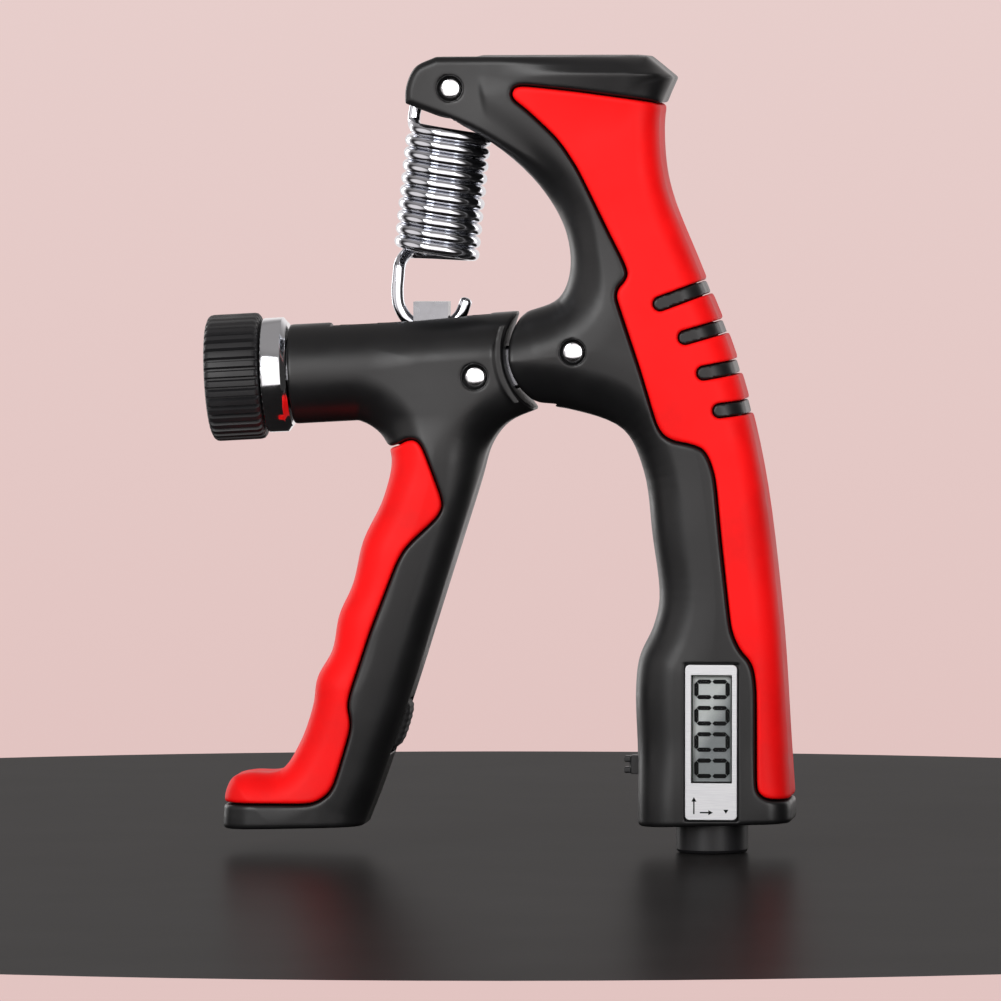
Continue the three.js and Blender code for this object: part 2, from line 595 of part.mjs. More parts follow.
// The hook passes through the eye, so the underside of the bar follows the inside of the hook.
function hookEye() {
  const floor = SPRING_LOW[1] - EYE_DEPTH;
  const half = SLOT_HALF - GAP;
  const block = box([SPRING_LOW[0] - EYE_HALF, SPRING_LOW[0] + EYE_HALF], [-half, half], [floor, EYE_TOP]);
  const underBar = arc(SPRING_LOW, HOOK_R - WIRE_R - GAP, 200, 340, 10);
  const [left, right] = [SPRING_LOW[0] - 2 * HOOK_R, SPRING_LOW[0] + 2 * HOOK_R];
  const passage = slab([...underBar, [right, floor - 1], [left, floor - 1]].reverse(), WIRE_R + GAP);
  return cut(block, passage);
}

// ---- counter ------------------------------------------------------------------------------------
const plateAt = ({ x, z, width, height }, y0, y1) => box(
  [x - width / 2, x + width / 2], [y0, y1], [z - height / 2, z + height / 2]);

const grow = (frame, by) => ({ ...frame, width: frame.width + 2 * by, height: frame.height + 2 * by });

const faceplate = () => cut(plateAt(LABEL, -12.2, -11.3), plateAt(WINDOW, -FAR, FAR));
const displayWindow = () => plateAt(grow(WINDOW, -GAP), -11.9, -11.1);
const lcdPanel = () => plateAt(grow(WINDOW, -GAP), -10.7, -9.1);
const counterBoard = () => cut(
  box([34, 50.4], [-8.6, -7.4], [15.4, 41.6]),
  box([41.2, 44.2], [-9, -7], [15, 17]));
const coinCell = () => turnedY(rod(5.8, -6.9, -3.8), [42.4, 33], 28);
const cellClip = () => plate([[35.4, 25.4], [49.4, 25.4], [49.4, 26.6], [35.4, 26.6]], -7.1, -3);
const triggerSwitch = () => box([35.4, 39.4], [-7.1, -1.6], [15.6, 21.6]);
const resetSwitch = () => box([40.2, 45.2], [-7.1, 2.4], [18.4, 22]);

const resetButton = () => turnedZ([[0, 0], [RESET_R - 0.9, 0], [RESET_R, 0.9], [RESET_R, 8.9], [8.3, 8.9],
  [8.3, 10.1], [2.2, 10.1], [2.2, 15.2], [0, 15.2]], [RESET_X, 0]);

function helixZ([x, y], r, wireR, z0, z1, turns) {
  const points = [];
  const steps = turns * 10;
  for (let i = 0; i <= steps; i += 1) {
    const a = 2 * Math.PI * turns * i / steps;
    points.push(new THREE.Vector3(x + r * Math.cos(a), y + r * Math.sin(a), z0 + (z1 - z0) * i / steps));
  }
  const circle = shapeOf(arc([0, 0], wireR, 0, 360, 5).slice(0, -1));
  return new THREE.ExtrudeGeometry(circle, { steps, extrudePath: new THREE.CatmullRomCurve3(points) });
}

function countTrigger() {
  const stem = box([26.4, 34.1], [-2, 2], [15.7, 19.5]);
  const prongs = [16.5, 18.7].map((z) => box([25.1, 27], [-1.6, 1.6], [z - 0.55, z + 0.55]));
  return join(stem, ...prongs);
}

// ---- the assembly ---------------------------------------------------------------------------------
const BLACK = 0x2b2b2d;
const RED = 0xff3232;
const CHROME = 0xd8dade;

const part = new THREE.Group();

function add(name, body, color, roughness, metalness) {
  const geometry = body.isBufferGeometry ? body : geometryOf(body);
  const material = new THREE.MeshStandardMaterial({ color, roughness, metalness });
  const mesh = new THREE.Mesh(geometry, material);
  mesh.name = name;
  part.add(mesh);
}

const main = buildMain();
add('main_shell_near', main.near, BLACK, 0.42, 0);
add('main_shell_far', main.far, BLACK, 0.42, 0);
add('main_grip', main.grip, RED, 0.5, 0);
const lever = buildLever();
add('lever_shell_near', lever.near, BLACK, 0.42, 0);
add('lever_shell_far', lever.far, BLACK, 0.42, 0);
add('lever_grip', lever.grip, RED, 0.5, 0);
add('striker_pad', slab(PAD_OUTLINE, PAD_HALF), 0x1d1d1f, 0.6, 0);
add('link_plate', linkPlate(), 0xa9abae, 0.35, 1);
add('pivot_bush', turnedY(ring(PIN_R + GAP, 3.6, -4.1, 4.1), PIVOT), 0xb08d4f, 0.35, 1);
add('pivot_washer_near', turnedY(ring(PIN_R + GAP, 5.4, -5.1, -4.5), PIVOT), 0xe8e6df, 0.5, 0);
add('pivot_washer_far', turnedY(ring(PIN_R + GAP, 5.4, 4.5, 5.1), PIVOT), 0xe8e6df, 0.5, 0);
add('pivot_pin', pin(PIVOT, MAIN_HALF), CHROME, 0.12, 1);
add('spring_pin', pin(SPRING_PIN, NOSE_HALF), CHROME, 0.12, 1);
add('lever_pin', pin(LEVER_PIN, LEVER_HALF), CHROME, 0.12, 1);
MAIN_SCREWS.forEach((at, i) => add(`main_case_screw_${i + 1}`, caseScrew(at), 0x8c8e92, 0.3, 1));
LEVER_SCREWS.forEach((at, i) => add(`lever_case_screw_${i + 1}`, caseScrew(at), 0x8c8e92, 0.3, 1));
add('adjust_knob', knob(), 0x232325, 0.55, 0);
add('adjust_screw', adjustScrew(), 0xb9bbbe, 0.3, 1);
add('retaining_ring', retainingRing(), 0x6f7175, 0.3, 1);
add('tube_collar', tubeCollar(), CHROME, 0.12, 1);
add('screw_bush', screwBush(), 0xb08d4f, 0.35, 1);
add('slider_nut', sliderNut(), 0xb9bbbe, 0.35, 1);
add('hook_eye', hookEye(), CHROME, 0.14, 1);
add('spring_upper', springUpper(), CHROME, 0.12, 1);
add('spring_middle', springMiddle(), CHROME, 0.12, 1);
add('spring_lower', springLower(), CHROME, 0.12, 1);
add('counter_faceplate', faceplate(), 0xe8e8ea, 0.45, 0);
add('display_window', displayWindow(), 0xd0d4d6, 0.05, 0);
add('lcd_panel', lcdPanel(), 0xaeb2b4, 0.2, 0);
add('counter_board', counterBoard(), 0x2f6b3c, 0.5, 0);
add('coin_cell', coinCell(), 0xc9cbcf, 0.25, 1);
add('cell_clip', cellClip(), 0xc2a25a, 0.3, 1);
add('trigger_switch', triggerSwitch(), 0x202124, 0.5, 0);
add('reset_switch', resetSwitch(), 0x202124, 0.5, 0);
add('count_trigger', countTrigger(), 0x1b1b1d, 0.45, 0);
add('reset_button', resetButton(), 0x1f1f21, 0.42, 0);
add('reset_spring', helixZ([RESET_X, 0], 3.4, 0.35, 10.8, 17.4, 5), CHROME, 0.2, 1);

export default part;
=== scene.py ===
# Spring hand-grip trainer with an LCD repetition counter: the finished look of each piece.
# Shapes are worked out in millimetres in the frame of the CAD model and stored in metres.
import functools
import math

import bmesh
import bpy
import numpy as np
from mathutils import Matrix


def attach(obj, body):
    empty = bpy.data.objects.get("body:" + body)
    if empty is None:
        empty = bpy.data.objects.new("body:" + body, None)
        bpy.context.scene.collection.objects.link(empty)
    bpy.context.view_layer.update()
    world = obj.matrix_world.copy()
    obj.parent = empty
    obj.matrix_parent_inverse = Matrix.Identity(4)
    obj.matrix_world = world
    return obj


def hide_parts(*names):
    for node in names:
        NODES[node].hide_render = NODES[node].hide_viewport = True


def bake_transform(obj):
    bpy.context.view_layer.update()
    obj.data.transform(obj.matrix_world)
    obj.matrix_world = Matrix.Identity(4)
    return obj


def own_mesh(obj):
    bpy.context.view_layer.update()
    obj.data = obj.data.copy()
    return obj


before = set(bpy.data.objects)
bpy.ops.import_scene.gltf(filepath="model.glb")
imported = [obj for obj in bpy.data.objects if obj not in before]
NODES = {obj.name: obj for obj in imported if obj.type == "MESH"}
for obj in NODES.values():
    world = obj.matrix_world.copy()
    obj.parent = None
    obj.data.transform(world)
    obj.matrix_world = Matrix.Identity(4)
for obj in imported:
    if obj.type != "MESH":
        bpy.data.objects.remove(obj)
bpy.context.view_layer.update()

import openvdb
from mathutils import Vector

MM = 0.001
FAR = 200.0

# ---- driving dimensions: the CAD model's, or close to them ----
MAIN_HALF = 12.0  # half thickness of the main handle
LEVER_HALF = 11.5  # half thickness of the lever
NOSE_HALF = 10.0  # half thickness of the head's nose
FLARE_HALF = 14.1  # half width of the head at its crease
FLARE_LOW = 148.5  # height where the head starts to widen
FLARE_CREASE = 156.2  # height of the crease
HEAD_TOP = 159.6
HEAD_TIP = (35.2, 155.4)  # back corner of the head
HEAD_CORNER = (30.1, HEAD_TOP)  # where its top starts to slope down to that corner
HEAD_BACK = (32.9, 149.4)  # where its back meets the grip
BASE_Z = 5.6  # underside of the main handle
SKIN = 2.3  # thickness of the soft grips
SEAM = 0.16  # half of the groove between the soft grips and the shells
PIVOT = (15.5, 100.6)
KNUCKLE_R = 13.0  # round end of the main handle's neck
LEVER_END_R = 14.0  # hollow end of the lever round it
LEVER_PIN = (-4.2, 95.6)
SPRING_PIN = (-9.3, 153.2)
PIN_R = 2.15
PIN_RECESS_R = 2.6
PIN_RECESS = 0.9
LINK_HALF = 4.2  # half thickness of the steel link
SQUEEZE = 31.0  # swing that the neck leaves room for, in degrees
TUBE_START = (-42.0, 95.745)  # centre of the tube's open end
TUBE_TILT = math.atan2(0.0558, 0.9984)
TUBE_R = 10.0
BORE_R = 7.0
BORE_LENGTH = 34.8
SLOT_HALF = 3.1  # half width of the slot on top of the tube
SLOT_FROM, SLOT_TO = 8.6, 40.6
KNOB_R = 12.7
KNOB_LENGTH = 11.0
KNOB_RIBS = 40
RIB_DEPTH = 0.75
COLLAR_R = 11.5
COLLAR_LENGTH = 5.4
SCREW_BACK = 13.9  # the screw's head starts this far outside the tube
GAP = 0.3
SCREW_R = 3.0
SCREW_LENGTH = 31.8
THREAD_PITCH = 2.0
WIRE_R = 1.25
COIL_R = 7.4
HOOK_R = 7.0
SPRING_TOP = (-9.8, 149.6)  # centre of the upper loop
SPRING_LOW = (-13.8, 111.8)  # centre of the lower hook
COIL_START = 4.95
COIL_PITCH = 2.55
COIL_TURNS = 10
COIL_CLEAR = 9.2  # radius kept free round the coil
COIL_ROOM = 2.6  # and beyond its ends
RESET_X = 42.7
RESET_R = 7.25
TRIGGER_Z = 17.6  # height of the count trigger
LABEL = dict(x=43.35, z=22.8, width=10.35, height=31.0)
WINDOW = dict(x=43.45, z=25.45, width=8.15, height=21.6)
MAIN_SCREWS = ((19.5, 121.0), (24.0, 92.0), (39.0, 48.0))
LEVER_SCREWS = ((-12.0, 84.0), (-28.6, 12.5))
SLOT_R = 1.4
GRIP_SLOTS = (
    ((33.0, 110.3), (46.0, 115.2)),
    ((38.0, 103.6), (50.0, 107.1)),
    ((41.7, 96.5), (53.0, 98.6)),
    ((44.9, 89.0), (56.0, 90.4)),
)
SLOT_SINK = 0.35  # how far the dark inlays lie below the grip
STEP = 0.4  # grid spacing of the moulded bodies

# ---- outlines in the XZ plane ----


def spline(points, steps):
    """A centripetal Catmull-Rom curve through the points."""
    p = [np.array(q, float) for q in points]
    p = [2 * p[0] - p[1], *p, 2 * p[-1] - p[-2]]
    curve = []
    for a, b, c, d in zip(p, p[1:], p[2:], p[3:]):
        t = np.cumsum([0] + [math.sqrt(np.linalg.norm(v - u)) for u, v in ((a, b), (b, c), (c, d))])
        for s in np.linspace(t[1], t[2], steps, endpoint=False):
            ab = a + (b - a) * (s - t[0]) / (t[1] - t[0])
            bc = b + (c - b) * (s - t[1]) / (t[2] - t[1])
            cd = c + (d - c) * (s - t[2]) / (t[3] - t[2])
            low = ab + (bc - ab) * (s - t[0]) / (t[2] - t[0])
            high = bc + (cd - bc) * (s - t[1]) / (t[3] - t[1])
            curve.append(low + (high - low) * (s - t[1]) / (t[2] - t[1]))
    return [tuple(q) for q in curve] + [tuple(points[-1])]


def polar(centre, r, degrees):
    a = math.radians(degrees)
    return (centre[0] + r * math.cos(a), centre[1] + r * math.sin(a))


def soften(points, rounds=3):
    """Cuts the corners of a closed outline again and again, which rounds them."""
    p = np.array(points, float)
    for _ in range(rounds):
        q = np.roll(p, -1, axis=0)
        length = np.linalg.norm(q - p, axis=1, keepdims=True)
        share = np.minimum(0.25, 1.4 / np.maximum(length, 1e-6))
        p = np.stack([p + (q - p) * share, q - (q - p) * share], axis=1).reshape(-1, 2)
    return p


def along_tube(distance, up=0.0):
    c, s = math.cos(TUBE_TILT), math.sin(TUBE_TILT)
    return (TUBE_START[0] + distance * c - up * s, TUBE_START[1] + distance * s + up * c)


KNUCKLE_TOP, KNUCKLE_LOW = (5.05, 108.3), (8.2, 89.6)  # where the knuckle's round end meets the neck
MAIN_OUTLINE = [
    *spline([(-18.4, 150.2), (-18.2, 153.6), (-16.4, 157.4), (-12.2, 159.5)], 6),
    (20, HEAD_TOP), HEAD_CORNER,
    *spline([HEAD_TIP, HEAD_BACK, (32.7, 141), (34.1, 132.8), (40.4, 116.9), (47.2, 99.6),
             (52.7, 78.2), (56.6, 47.8), (58.3, 22.5), (59.1, 9.4)], 6),
    (59.1, -12), (28.2, -12),
    *spline([(28.1, 7.9), (28, 20), (27.6, 33.4), (28.4, 39.6), (31.1, 45.6), (32.3, 51.2), (30.9, 63.8),
             (29.1, 76.8), (25, 84.9), (14.2, 88.9), KNUCKLE_LOW], 6),
    (-6, 90.4), (-8, 99), (-6, 105.4),
    *spline([KNUCKLE_TOP, (11.9, 111.2), (14.3, 117), (13.3, 125.2), (8.4, 134), (-3.2, 143.8),
             (-18.4, 150.2)], 6),
]
MAIN_FOOT = ((27.9, BASE_Z - 0.1), (59.1, BASE_Z + 0.9))  # the flat underside, cut across the outline

MAIN_GRIP_AREA = soften([
    (2.9, 151.4), (3.9, 154), (16.4, 152.7), (31.7, 150.6), (34, 149.5), (FAR, 149.5), (FAR, 11.2),
    (55, 11.2), (53, 12.2), (52.3, 13.8), (52.2, 34), (51.4, 38.6), (49, 41), (47.2, 45), (45.2, 63.2),
    (44, 76), (42.3, 80.7), (40, 82.1), (34.7, 83), (32.4, 85.4), (29.2, 96.5), (25.1, 108.7),
    (23.8, 112.6), (26.6, 115.6), (26, 118), (22.5, 124.8), (16.4, 137.3), (12.6, 143), (6.2, 149),
])

LEVER_OUTLINE = [
    along_tube(-12, TUBE_R), along_tube(28, TUBE_R - 0.1),
    (4.2, 108.6), (12, 109.0), (16, 99), (14, 90.5), (9.6, 89.9),
    *spline([(7.67, 88.99), (1.6, 86.2), (-1.7, 82), (-4, 74.8), (-12, 49.5), (-17.5, 32),
             (-24.1, 12.8), (-26.6, 6.4)], 6),
    (-30, -6), (-55.6, -6),
    *spline([(-55.4, 7), (-54.9, 12.2), (-53.4, 14.9), (-50.2, 15.8), (-43.9, 16.3), (-40, 21.8),
             (-37.3, 29.4), (-36.4, 35), (-33.4, 40.6), (-32, 47.6), (-29.2, 54), (-27.2, 62.4), (-23, 71.4),
             (-21.6, 79.2), (-23.6, 83.4), (-26.2, 85.5), along_tube(13, -TUBE_R)], 6),
    along_tube(-12, -TUBE_R),
]

LEVER_GRIP_AREA = soften([
    (-FAR, 81.3), (-22.4, 81.2), (-20.5, 81.5), (-17.5, 83.2), (-15.3, 82.6), (-13.7, 79.1), (-10.7, 70.9),
    (-10.9, 68.7), (-12.6, 66.5), (-17.5, 62.1), (-19.7, 58.8), (-25.2, 44.5), (-30, 30),
    (-28.9, 25.6), (-32.6, 13.3), (-34.5, 11), (-37.3, 9.7), (-FAR, 9.7),
])

LEVER_FOOT = ((-55.2, 4.5), (-26.6, 5.2))
LEVER_END_LOW, LEVER_END_TOP = (8.4, 88.6), (4.6, 109.2)  # corners of the hollow end

PAD_OUTLINE = [(-19.6, 31.4), (-17.3, 29.4), (-19.7, 21.3), (-22.9, 19.6), (-24.2, 20.4), (-20.8, 31.4)]
PAD_HALF = 4.4

# ---- moulded bodies as distance fields ----


class Grid:
    """Sample points on a box in millimetres. Fields on it are distances, negative inside."""

    def __init__(self, low, high, step):
        self.low = np.array(low, float)
        self.step = step
        x, y, z = (np.arange(a, b + step, step, dtype=np.float32) for a, b in zip(low, high))
        self.x, self.y, self.z = x[:, None, None], y[None, :, None], z[None, None, :]

    def outline(self, points):
        """Distance in the XZ plane to a closed outline."""
        shape = (self.x.shape[0], 1, self.z.shape[2])
        nearest = np.full(shape, 1e9, np.float32)
        inside = np.zeros(shape, bool)
        for (ax, az), (bx, bz) in zip(points, np.roll(np.array(points, float), -1, axis=0)):
            ex, ez = bx - ax, bz - az
            wx, wz = self.x - ax, self.z - az
            t = np.clip((wx * ex + wz * ez) / max(ex * ex + ez * ez, 1e-9), 0, 1)
            nearest = np.minimum(nearest, (wx - ex * t) ** 2 + (wz - ez * t) ** 2)
            crosses = (az > self.z) != (bz > self.z)
            inside ^= crosses & (self.x < ax + wz * ex / (ez if abs(ez) > 1e-9 else 1e-9))
        return np.where(inside, -1, 1).astype(np.float32) * np.sqrt(nearest)

    def capsule(self, a, b, r):
        """Distance in the XZ plane to a slot with round ends."""
        ex, ez = b[0] - a[0], b[1] - a[1]
        wx, wz = self.x - a[0], self.z - a[1]
        t = np.clip((wx * ex + wz * ez) / (ex * ex + ez * ez), 0, 1)
        return np.hypot(wx - ex * t, wz - ez * t) - r

    def right_of(self, a, b):
        """Distance in the XZ plane to the line from a up to b, positive on its right."""
        length = math.dist(a, b)
        return ((self.x - a[0]) * (b[1] - a[1]) - (self.z - a[1]) * (b[0] - a[0])) / length

    def round_y(self, at, r):
        return np.hypot(self.x - at[0], self.z - at[1]) - r

    def block(self, xs, ys, zs):
        def over(v, span):
            return np.abs(v - (span[0] + span[1]) / 2) - abs(span[1] - span[0]) / 2
        return both(over(self.x, xs), over(self.y, ys), over(self.z, zs))

    def on_tube(self):
        """Distance along the tube from its open end, and height and distance across its axis."""
        c, s = math.cos(TUBE_TILT), math.sin(TUBE_TILT)
        dx, dz = self.x - TUBE_START[0], self.z - TUBE_START[1]
        along, up = dx * c + dz * s, dz * c - dx * s
        return along, up, np.hypot(up, self.y)


def both(*fields):
    return functools.reduce(np.maximum, fields)


def either(*fields):
    return functools.reduce(np.minimum, fields)


def soft_either(a, b, k):
    """Joins two fields with a fillet of about k / 2."""
    h = np.maximum(k - np.abs(a - b), 0) / k
    return np.minimum(a, b) - h * h * k * 0.25


def soft_both(a, b, k):
    return -soft_either(-a, -b, k)


def rounded(side, over, r):
    """Where two bounds meet, with their edge rounded by r."""
    a, b = side + r, over + r
    return np.hypot(np.maximum(a, 0), np.maximum(b, 0)) + np.minimum(np.maximum(a, b), 0) - r


def ramp(v, start, end):
    """0 at start, 1 at end, with smooth ends."""
    t = np.clip((v - start) / (end - start), 0, 1)
    return t * t * (3 - 2 * t)


def interp(v, stations, values):
    return np.interp(v, stations, values).astype(np.float32)


def sample(field, p):
    """Reads a field between its grid points, at positions in grid steps."""
    top = np.array(field.shape) - 2
    i = np.clip(np.floor(p).astype(int), 0, top)
    f = (p - i).astype(np.float32)
    out = 0
    for dx in (0, 1):
        for dy in (0, 1):
            for dz in (0, 1):
                w = (f[:, 0] if dx else 1 - f[:, 0]) * (f[:, 1] if dy else 1 - f[:, 1])
                w = w * (f[:, 2] if dz else 1 - f[:, 2])
                out = out + w * field[i[:, 0] + dx, i[:, 1] + dy, i[:, 2] + dz]
    return out


def mesh_of(name, points, faces, normals=None):
    """A smooth mesh from points in millimetres and faces that all have the same corner count."""
    faces = np.asarray(faces, np.int32)
    mesh = bpy.data.meshes.new(name)
    mesh.vertices.add(len(points))
    mesh.vertices.foreach_set("co", (np.asarray(points, np.float64) * MM).astype(np.float32).ravel())
    mesh.loops.add(faces.size)
    mesh.loops.foreach_set("vertex_index", faces.ravel())
    mesh.polygons.add(len(faces))
    mesh.polygons.foreach_set("loop_start", np.arange(0, faces.size, faces.shape[1], dtype=np.int32))
    mesh.update(calc_edges=True)
    mesh.validate()
    mesh.shade_smooth()
    if normals is not None:
        mesh.normals_split_custom_set_from_vertices(normals.astype(np.float32))
    return mesh


def skin_of(name, grid, field):
    """The zero surface of a field as an object, with normals taken from the field itself."""
    field = np.ascontiguousarray(np.broadcast_to(
        field, (grid.x.shape[0], grid.y.shape[1], grid.z.shape[2])), dtype=np.float32)
    volume = openvdb.FloatGrid(3 * grid.step)
    volume.copyFromArray(np.clip(field, -3 * grid.step, 3 * grid.step))
    volume.gridClass = openvdb.GridClass.LEVEL_SET
    points, quads = volume.convertToQuads(isovalue=0.0)
    points = points.astype(np.float64)

    def gradient(p):
        g = np.stack([sample(field, p + d) - sample(field, p - d) for d in np.eye(3) * 0.5], axis=1)
        return g / np.maximum(np.linalg.norm(g, axis=1, keepdims=True), 1e-6)

    for _ in range(2):
        away = np.clip(sample(field, points) / grid.step, -0.4, 0.4)
        points -= gradient(points) * away[:, None]
    normals = gradient(points)
    return bpy.data.objects.new(
        name, mesh_of(name, grid.low + points * grid.step, quads[:, ::-1], normals))


def main_surface(g):
    """The main handle's outer surface."""
    side = g.outline(MAIN_OUTLINE)
    depth = np.maximum(-side, 0)
    over_y = np.abs(g.y)

    # Half thickness: flat round the counter, crowned over the grip, thinner at the nose.
    nose = NOSE_HALF - 0.5 + (MAIN_HALF - NOSE_HALF + 0.5) * ramp(g.x, -20, 16)
    half = MAIN_HALF + (nose - MAIN_HALF) * ramp(g.z, 122, 146)
    crown = 1.1 * (1 - ramp(depth, 0, 14)) * ramp(g.z, 8, 24) * (1 - ramp(g.z, 126, 150))
    half = half - crown

    # Edge radius: wide round the throat and widest at the neck, tighter on the back.
    middle = interp(g.x * 0 + g.z, (0, 60, 85, 100, 120, 135, 150, 160), (43, 44, 38, 30, 22, 20, 12, 8))
    edge = 5.4 + 2.6 * ramp(middle - g.x, -5, 5)
    edge = edge + 1.4 * ramp(-np.hypot(g.x - 14, g.z - 99), -24, -10)
    body = rounded(side, over_y - half, edge)
    body = soft_both(body, g.right_of(*MAIN_FOOT), 1.0)
    knuckle = either(g.round_y(PIVOT, KNUCKLE_R), -g.right_of(KNUCKLE_LOW, KNUCKLE_TOP))
    body = soft_both(body, knuckle, 0.9)

    # The head widens to a crease and slopes in again above it; its back corner is rounded.
    wide = nose + 0.1 + (FLARE_HALF - MAIN_HALF - 0.1) * ramp(g.x, -6, 24)
    slope = 0.8 * ramp(g.x, -2, 24)
    low = over_y - (nose + (wide - nose) * (g.z - FLARE_LOW) / (FLARE_CREASE - FLARE_LOW))
    high = (over_y - wide + (g.z - FLARE_CREASE) * slope) / np.hypot(1, slope)
    back_low = g.right_of(HEAD_BACK, HEAD_TIP)
    back_high = g.right_of(HEAD_TIP, HEAD_CORNER)
    low = rounded(back_low, low * 0.95, 8.0)
    high = rounded(back_high, high, 5.0)
    flare = rounded(side, soft_both(low, high, 0.35), 1.6 + 6.2 * (1 - ramp(g.z, 122, 148)))
    flare = both(flare, 118 - g.z)
    return soft_either(body, flare, 1.2)


def seam_fields(body, area):
    """Splits a moulded body into the dark core and the soft grip that lies in its pocket."""
    pocket = soft_both(area - SEAM, -(body + SKIN), 0.5)
    core = soft_both(body, -pocket, 0.8)
    grip = soft_both(soft_both(body, area + SEAM, 0.9), -(body + SKIN - 0.1), 0.3)
    return core, grip


def pin_hole(g, at, half):
    hole = g.round_y(at, PIN_R)
    recess = both(g.round_y(at, PIN_RECESS_R), half - PIN_RECESS - 0.8 - np.abs(g.y))
    return either(hole + 0 * g.y, recess)


def screw_hole(g, at):
    return either(both(g.round_y(at, 1.5), -g.y), both(g.round_y(at, 2.9), 9.2 - g.y))


LINK_ANGLE = math.degrees(math.atan2(PIVOT[1] - LEVER_PIN[1], PIVOT[0] - LEVER_PIN[0]))


def link_sweep():
    """Plan of the space that the link's straight part sweeps through the neck."""
    half_width, reach, steps = 4.7, 18, 4
    rest, squeezed = LINK_ANGLE + 180, LINK_ANGLE + 180 + SQUEEZE
    top, bottom = polar(PIVOT, half_width, rest - 90), polar(PIVOT, half_width, squeezed + 90)
    tips = [polar(PIVOT, reach, a) for a in np.linspace(rest, squeezed, steps + 1)]
    return [top, polar(top, reach, rest), *tips, polar(bottom, reach, squeezed), bottom]


SPRING_LENGTH = math.dist(SPRING_TOP, SPRING_LOW)
SPRING_DOWN = tuple((low - top) / SPRING_LENGTH for low, top in zip(SPRING_LOW, SPRING_TOP))
COIL_END = COIL_START + COIL_PITCH * COIL_TURNS


def coil_space(g):
    dx, dz = g.x - SPRING_TOP[0], g.z - SPRING_TOP[1]
    down = dx * SPRING_DOWN[0] + dz * SPRING_DOWN[1]
    right = dx * -SPRING_DOWN[1] + dz * SPRING_DOWN[0]
    return both(np.hypot(right, g.y) - COIL_CLEAR, COIL_START - COIL_ROOM - down,
                down - COIL_END - COIL_ROOM)


def opening(g, panel, room, back):
    """The space that a panel of the counter fills, with room beside and above it, open to the front."""
    x, z = panel["x"], panel["z"]
    across, high = panel["width"] / 2 + room[0], panel["height"] / 2 + room[1]
    return g.block((x - across, x + across), (-FAR, back), (z - high, z + high))


def main_body():
    g = Grid((-20.5, -16, 2.8), (61.5, 16, 161.8), STEP)
    body = main_surface(g)
    core, grip = seam_fields(body, g.outline(MAIN_GRIP_AREA))
    for line in GRIP_SLOTS:
        slot = g.capsule(*line, SLOT_R)
        grip = soft_both(grip, -(slot - 0.1), 0.6)
        core = either(core, both(slot + 0.12, body + SLOT_SINK))

    counter_room = g.block((33.2, 51.2), (-8.9, 8.9), (8.9, 41.9))
    link_eye_room = both(g.round_y(PIVOT, 7.2), np.abs(g.y) - 5.4)
    link_room = both(g.outline(link_sweep()), np.abs(g.y) - LINK_HALF - 0.5)
    nose_plan = g.outline([(-30, 130), (-30, 158.4), (-3, 158.4), (1, 154), (1, 130)])
    nose_slot = both(nose_plan, np.abs(g.y) - 1.9)
    reset_bore = both(np.hypot(g.x - RESET_X, g.y) - RESET_R - 0.25, g.z - 12)
    trigger_way = g.block((20, 34), (-2.3, 2.3), (TRIGGER_Z - 2.2, TRIGGER_Z + 2.2))
    hollows = either(
        opening(g, LABEL, (0.15, 0.15), -11.2), opening(g, WINDOW, (0.125, 0.1), -8),
        counter_room, link_eye_room, link_room, nose_slot, coil_space(g), reset_bore, trigger_way,
        pin_hole(g, PIVOT, MAIN_HALF), pin_hole(g, SPRING_PIN, NOSE_HALF),
        *(screw_hole(g, at) for at in MAIN_SCREWS),
    )
    core = soft_both(core, -hollows, 0.35)
    return skin_of("main_handle", g, core), skin_of("main_soft_grip", g, grip)


def lever_body():
    g = Grid((-57, -13, 3.2), (13, 13, 111.5), STEP)
    side = g.outline(LEVER_OUTLINE)
    depth = np.maximum(-side, 0)
    over_y = np.abs(g.y)
    along, up, around = g.on_tube()

    # The tube is the stretch whose edge radius equals its half thickness. It runs into the flatter hub.
    tube = ramp(-g.x, 2, 26) * ramp(g.z, 78, 88)
    crest = ramp(up, -3, 5) * ramp(g.z, 90, 96)
    half = LEVER_HALF - 1.0 * (1 - ramp(depth, 0, 10)) * (1 - ramp(g.z, 80, 92))
    half = half + (TUBE_R - half) * tube
    edge = 5.6 + (TUBE_R - 5.6) * np.maximum(tube, crest)
    edge = edge + 2.0 * ramp(g.z, 70, 84) * (1 - np.maximum(tube, crest))
    body = rounded(side, over_y - half, edge)
    body = soft_both(body, np.minimum(-along, g.z - 60), 0.6)
    body = soft_both(body, g.right_of(*LEVER_FOOT), 1.0)

    end = g.round_y(PIVOT, LEVER_END_R)
    rim = np.hypot(g.round_y(PIVOT, LEVER_END_R + 0.95), over_y - LEVER_HALF + 0.1) - 0.75
    reach = both(side + 2.4, g.x - 7.5)
    rim = both(rim, reach, over_y - LEVER_HALF - 0.4)
    body = soft_either(body, rim, 0.8)
    body = soft_both(both(body, g.right_of(LEVER_END_LOW, LEVER_END_TOP)), -end, 0.7)

    core, grip = seam_fields(body, g.outline(LEVER_GRIP_AREA))
    bore = both(around - BORE_R, along - BORE_LENGTH)
    slot = both(over_y - SLOT_HALF, SLOT_FROM - along, along - SLOT_TO, 3 - up)
    link_room = both(g.capsule(LEVER_PIN, PIVOT, 4.3), over_y - LINK_HALF - GAP)
    pad_pocket = both(g.outline(PAD_OUTLINE) - 0.25, over_y - PAD_HALF - 0.25)
    hollows = either(
        bore, slot, link_room, pad_pocket,
        pin_hole(g, LEVER_PIN, LEVER_HALF),
        *(screw_hole(g, at) for at in LEVER_SCREWS),
    )
    core = soft_both(core, -hollows, 0.5)
    return skin_of("lever_handle", g, core), skin_of("lever_soft_grip", g, grip)


# ---- turned and swept pieces ----


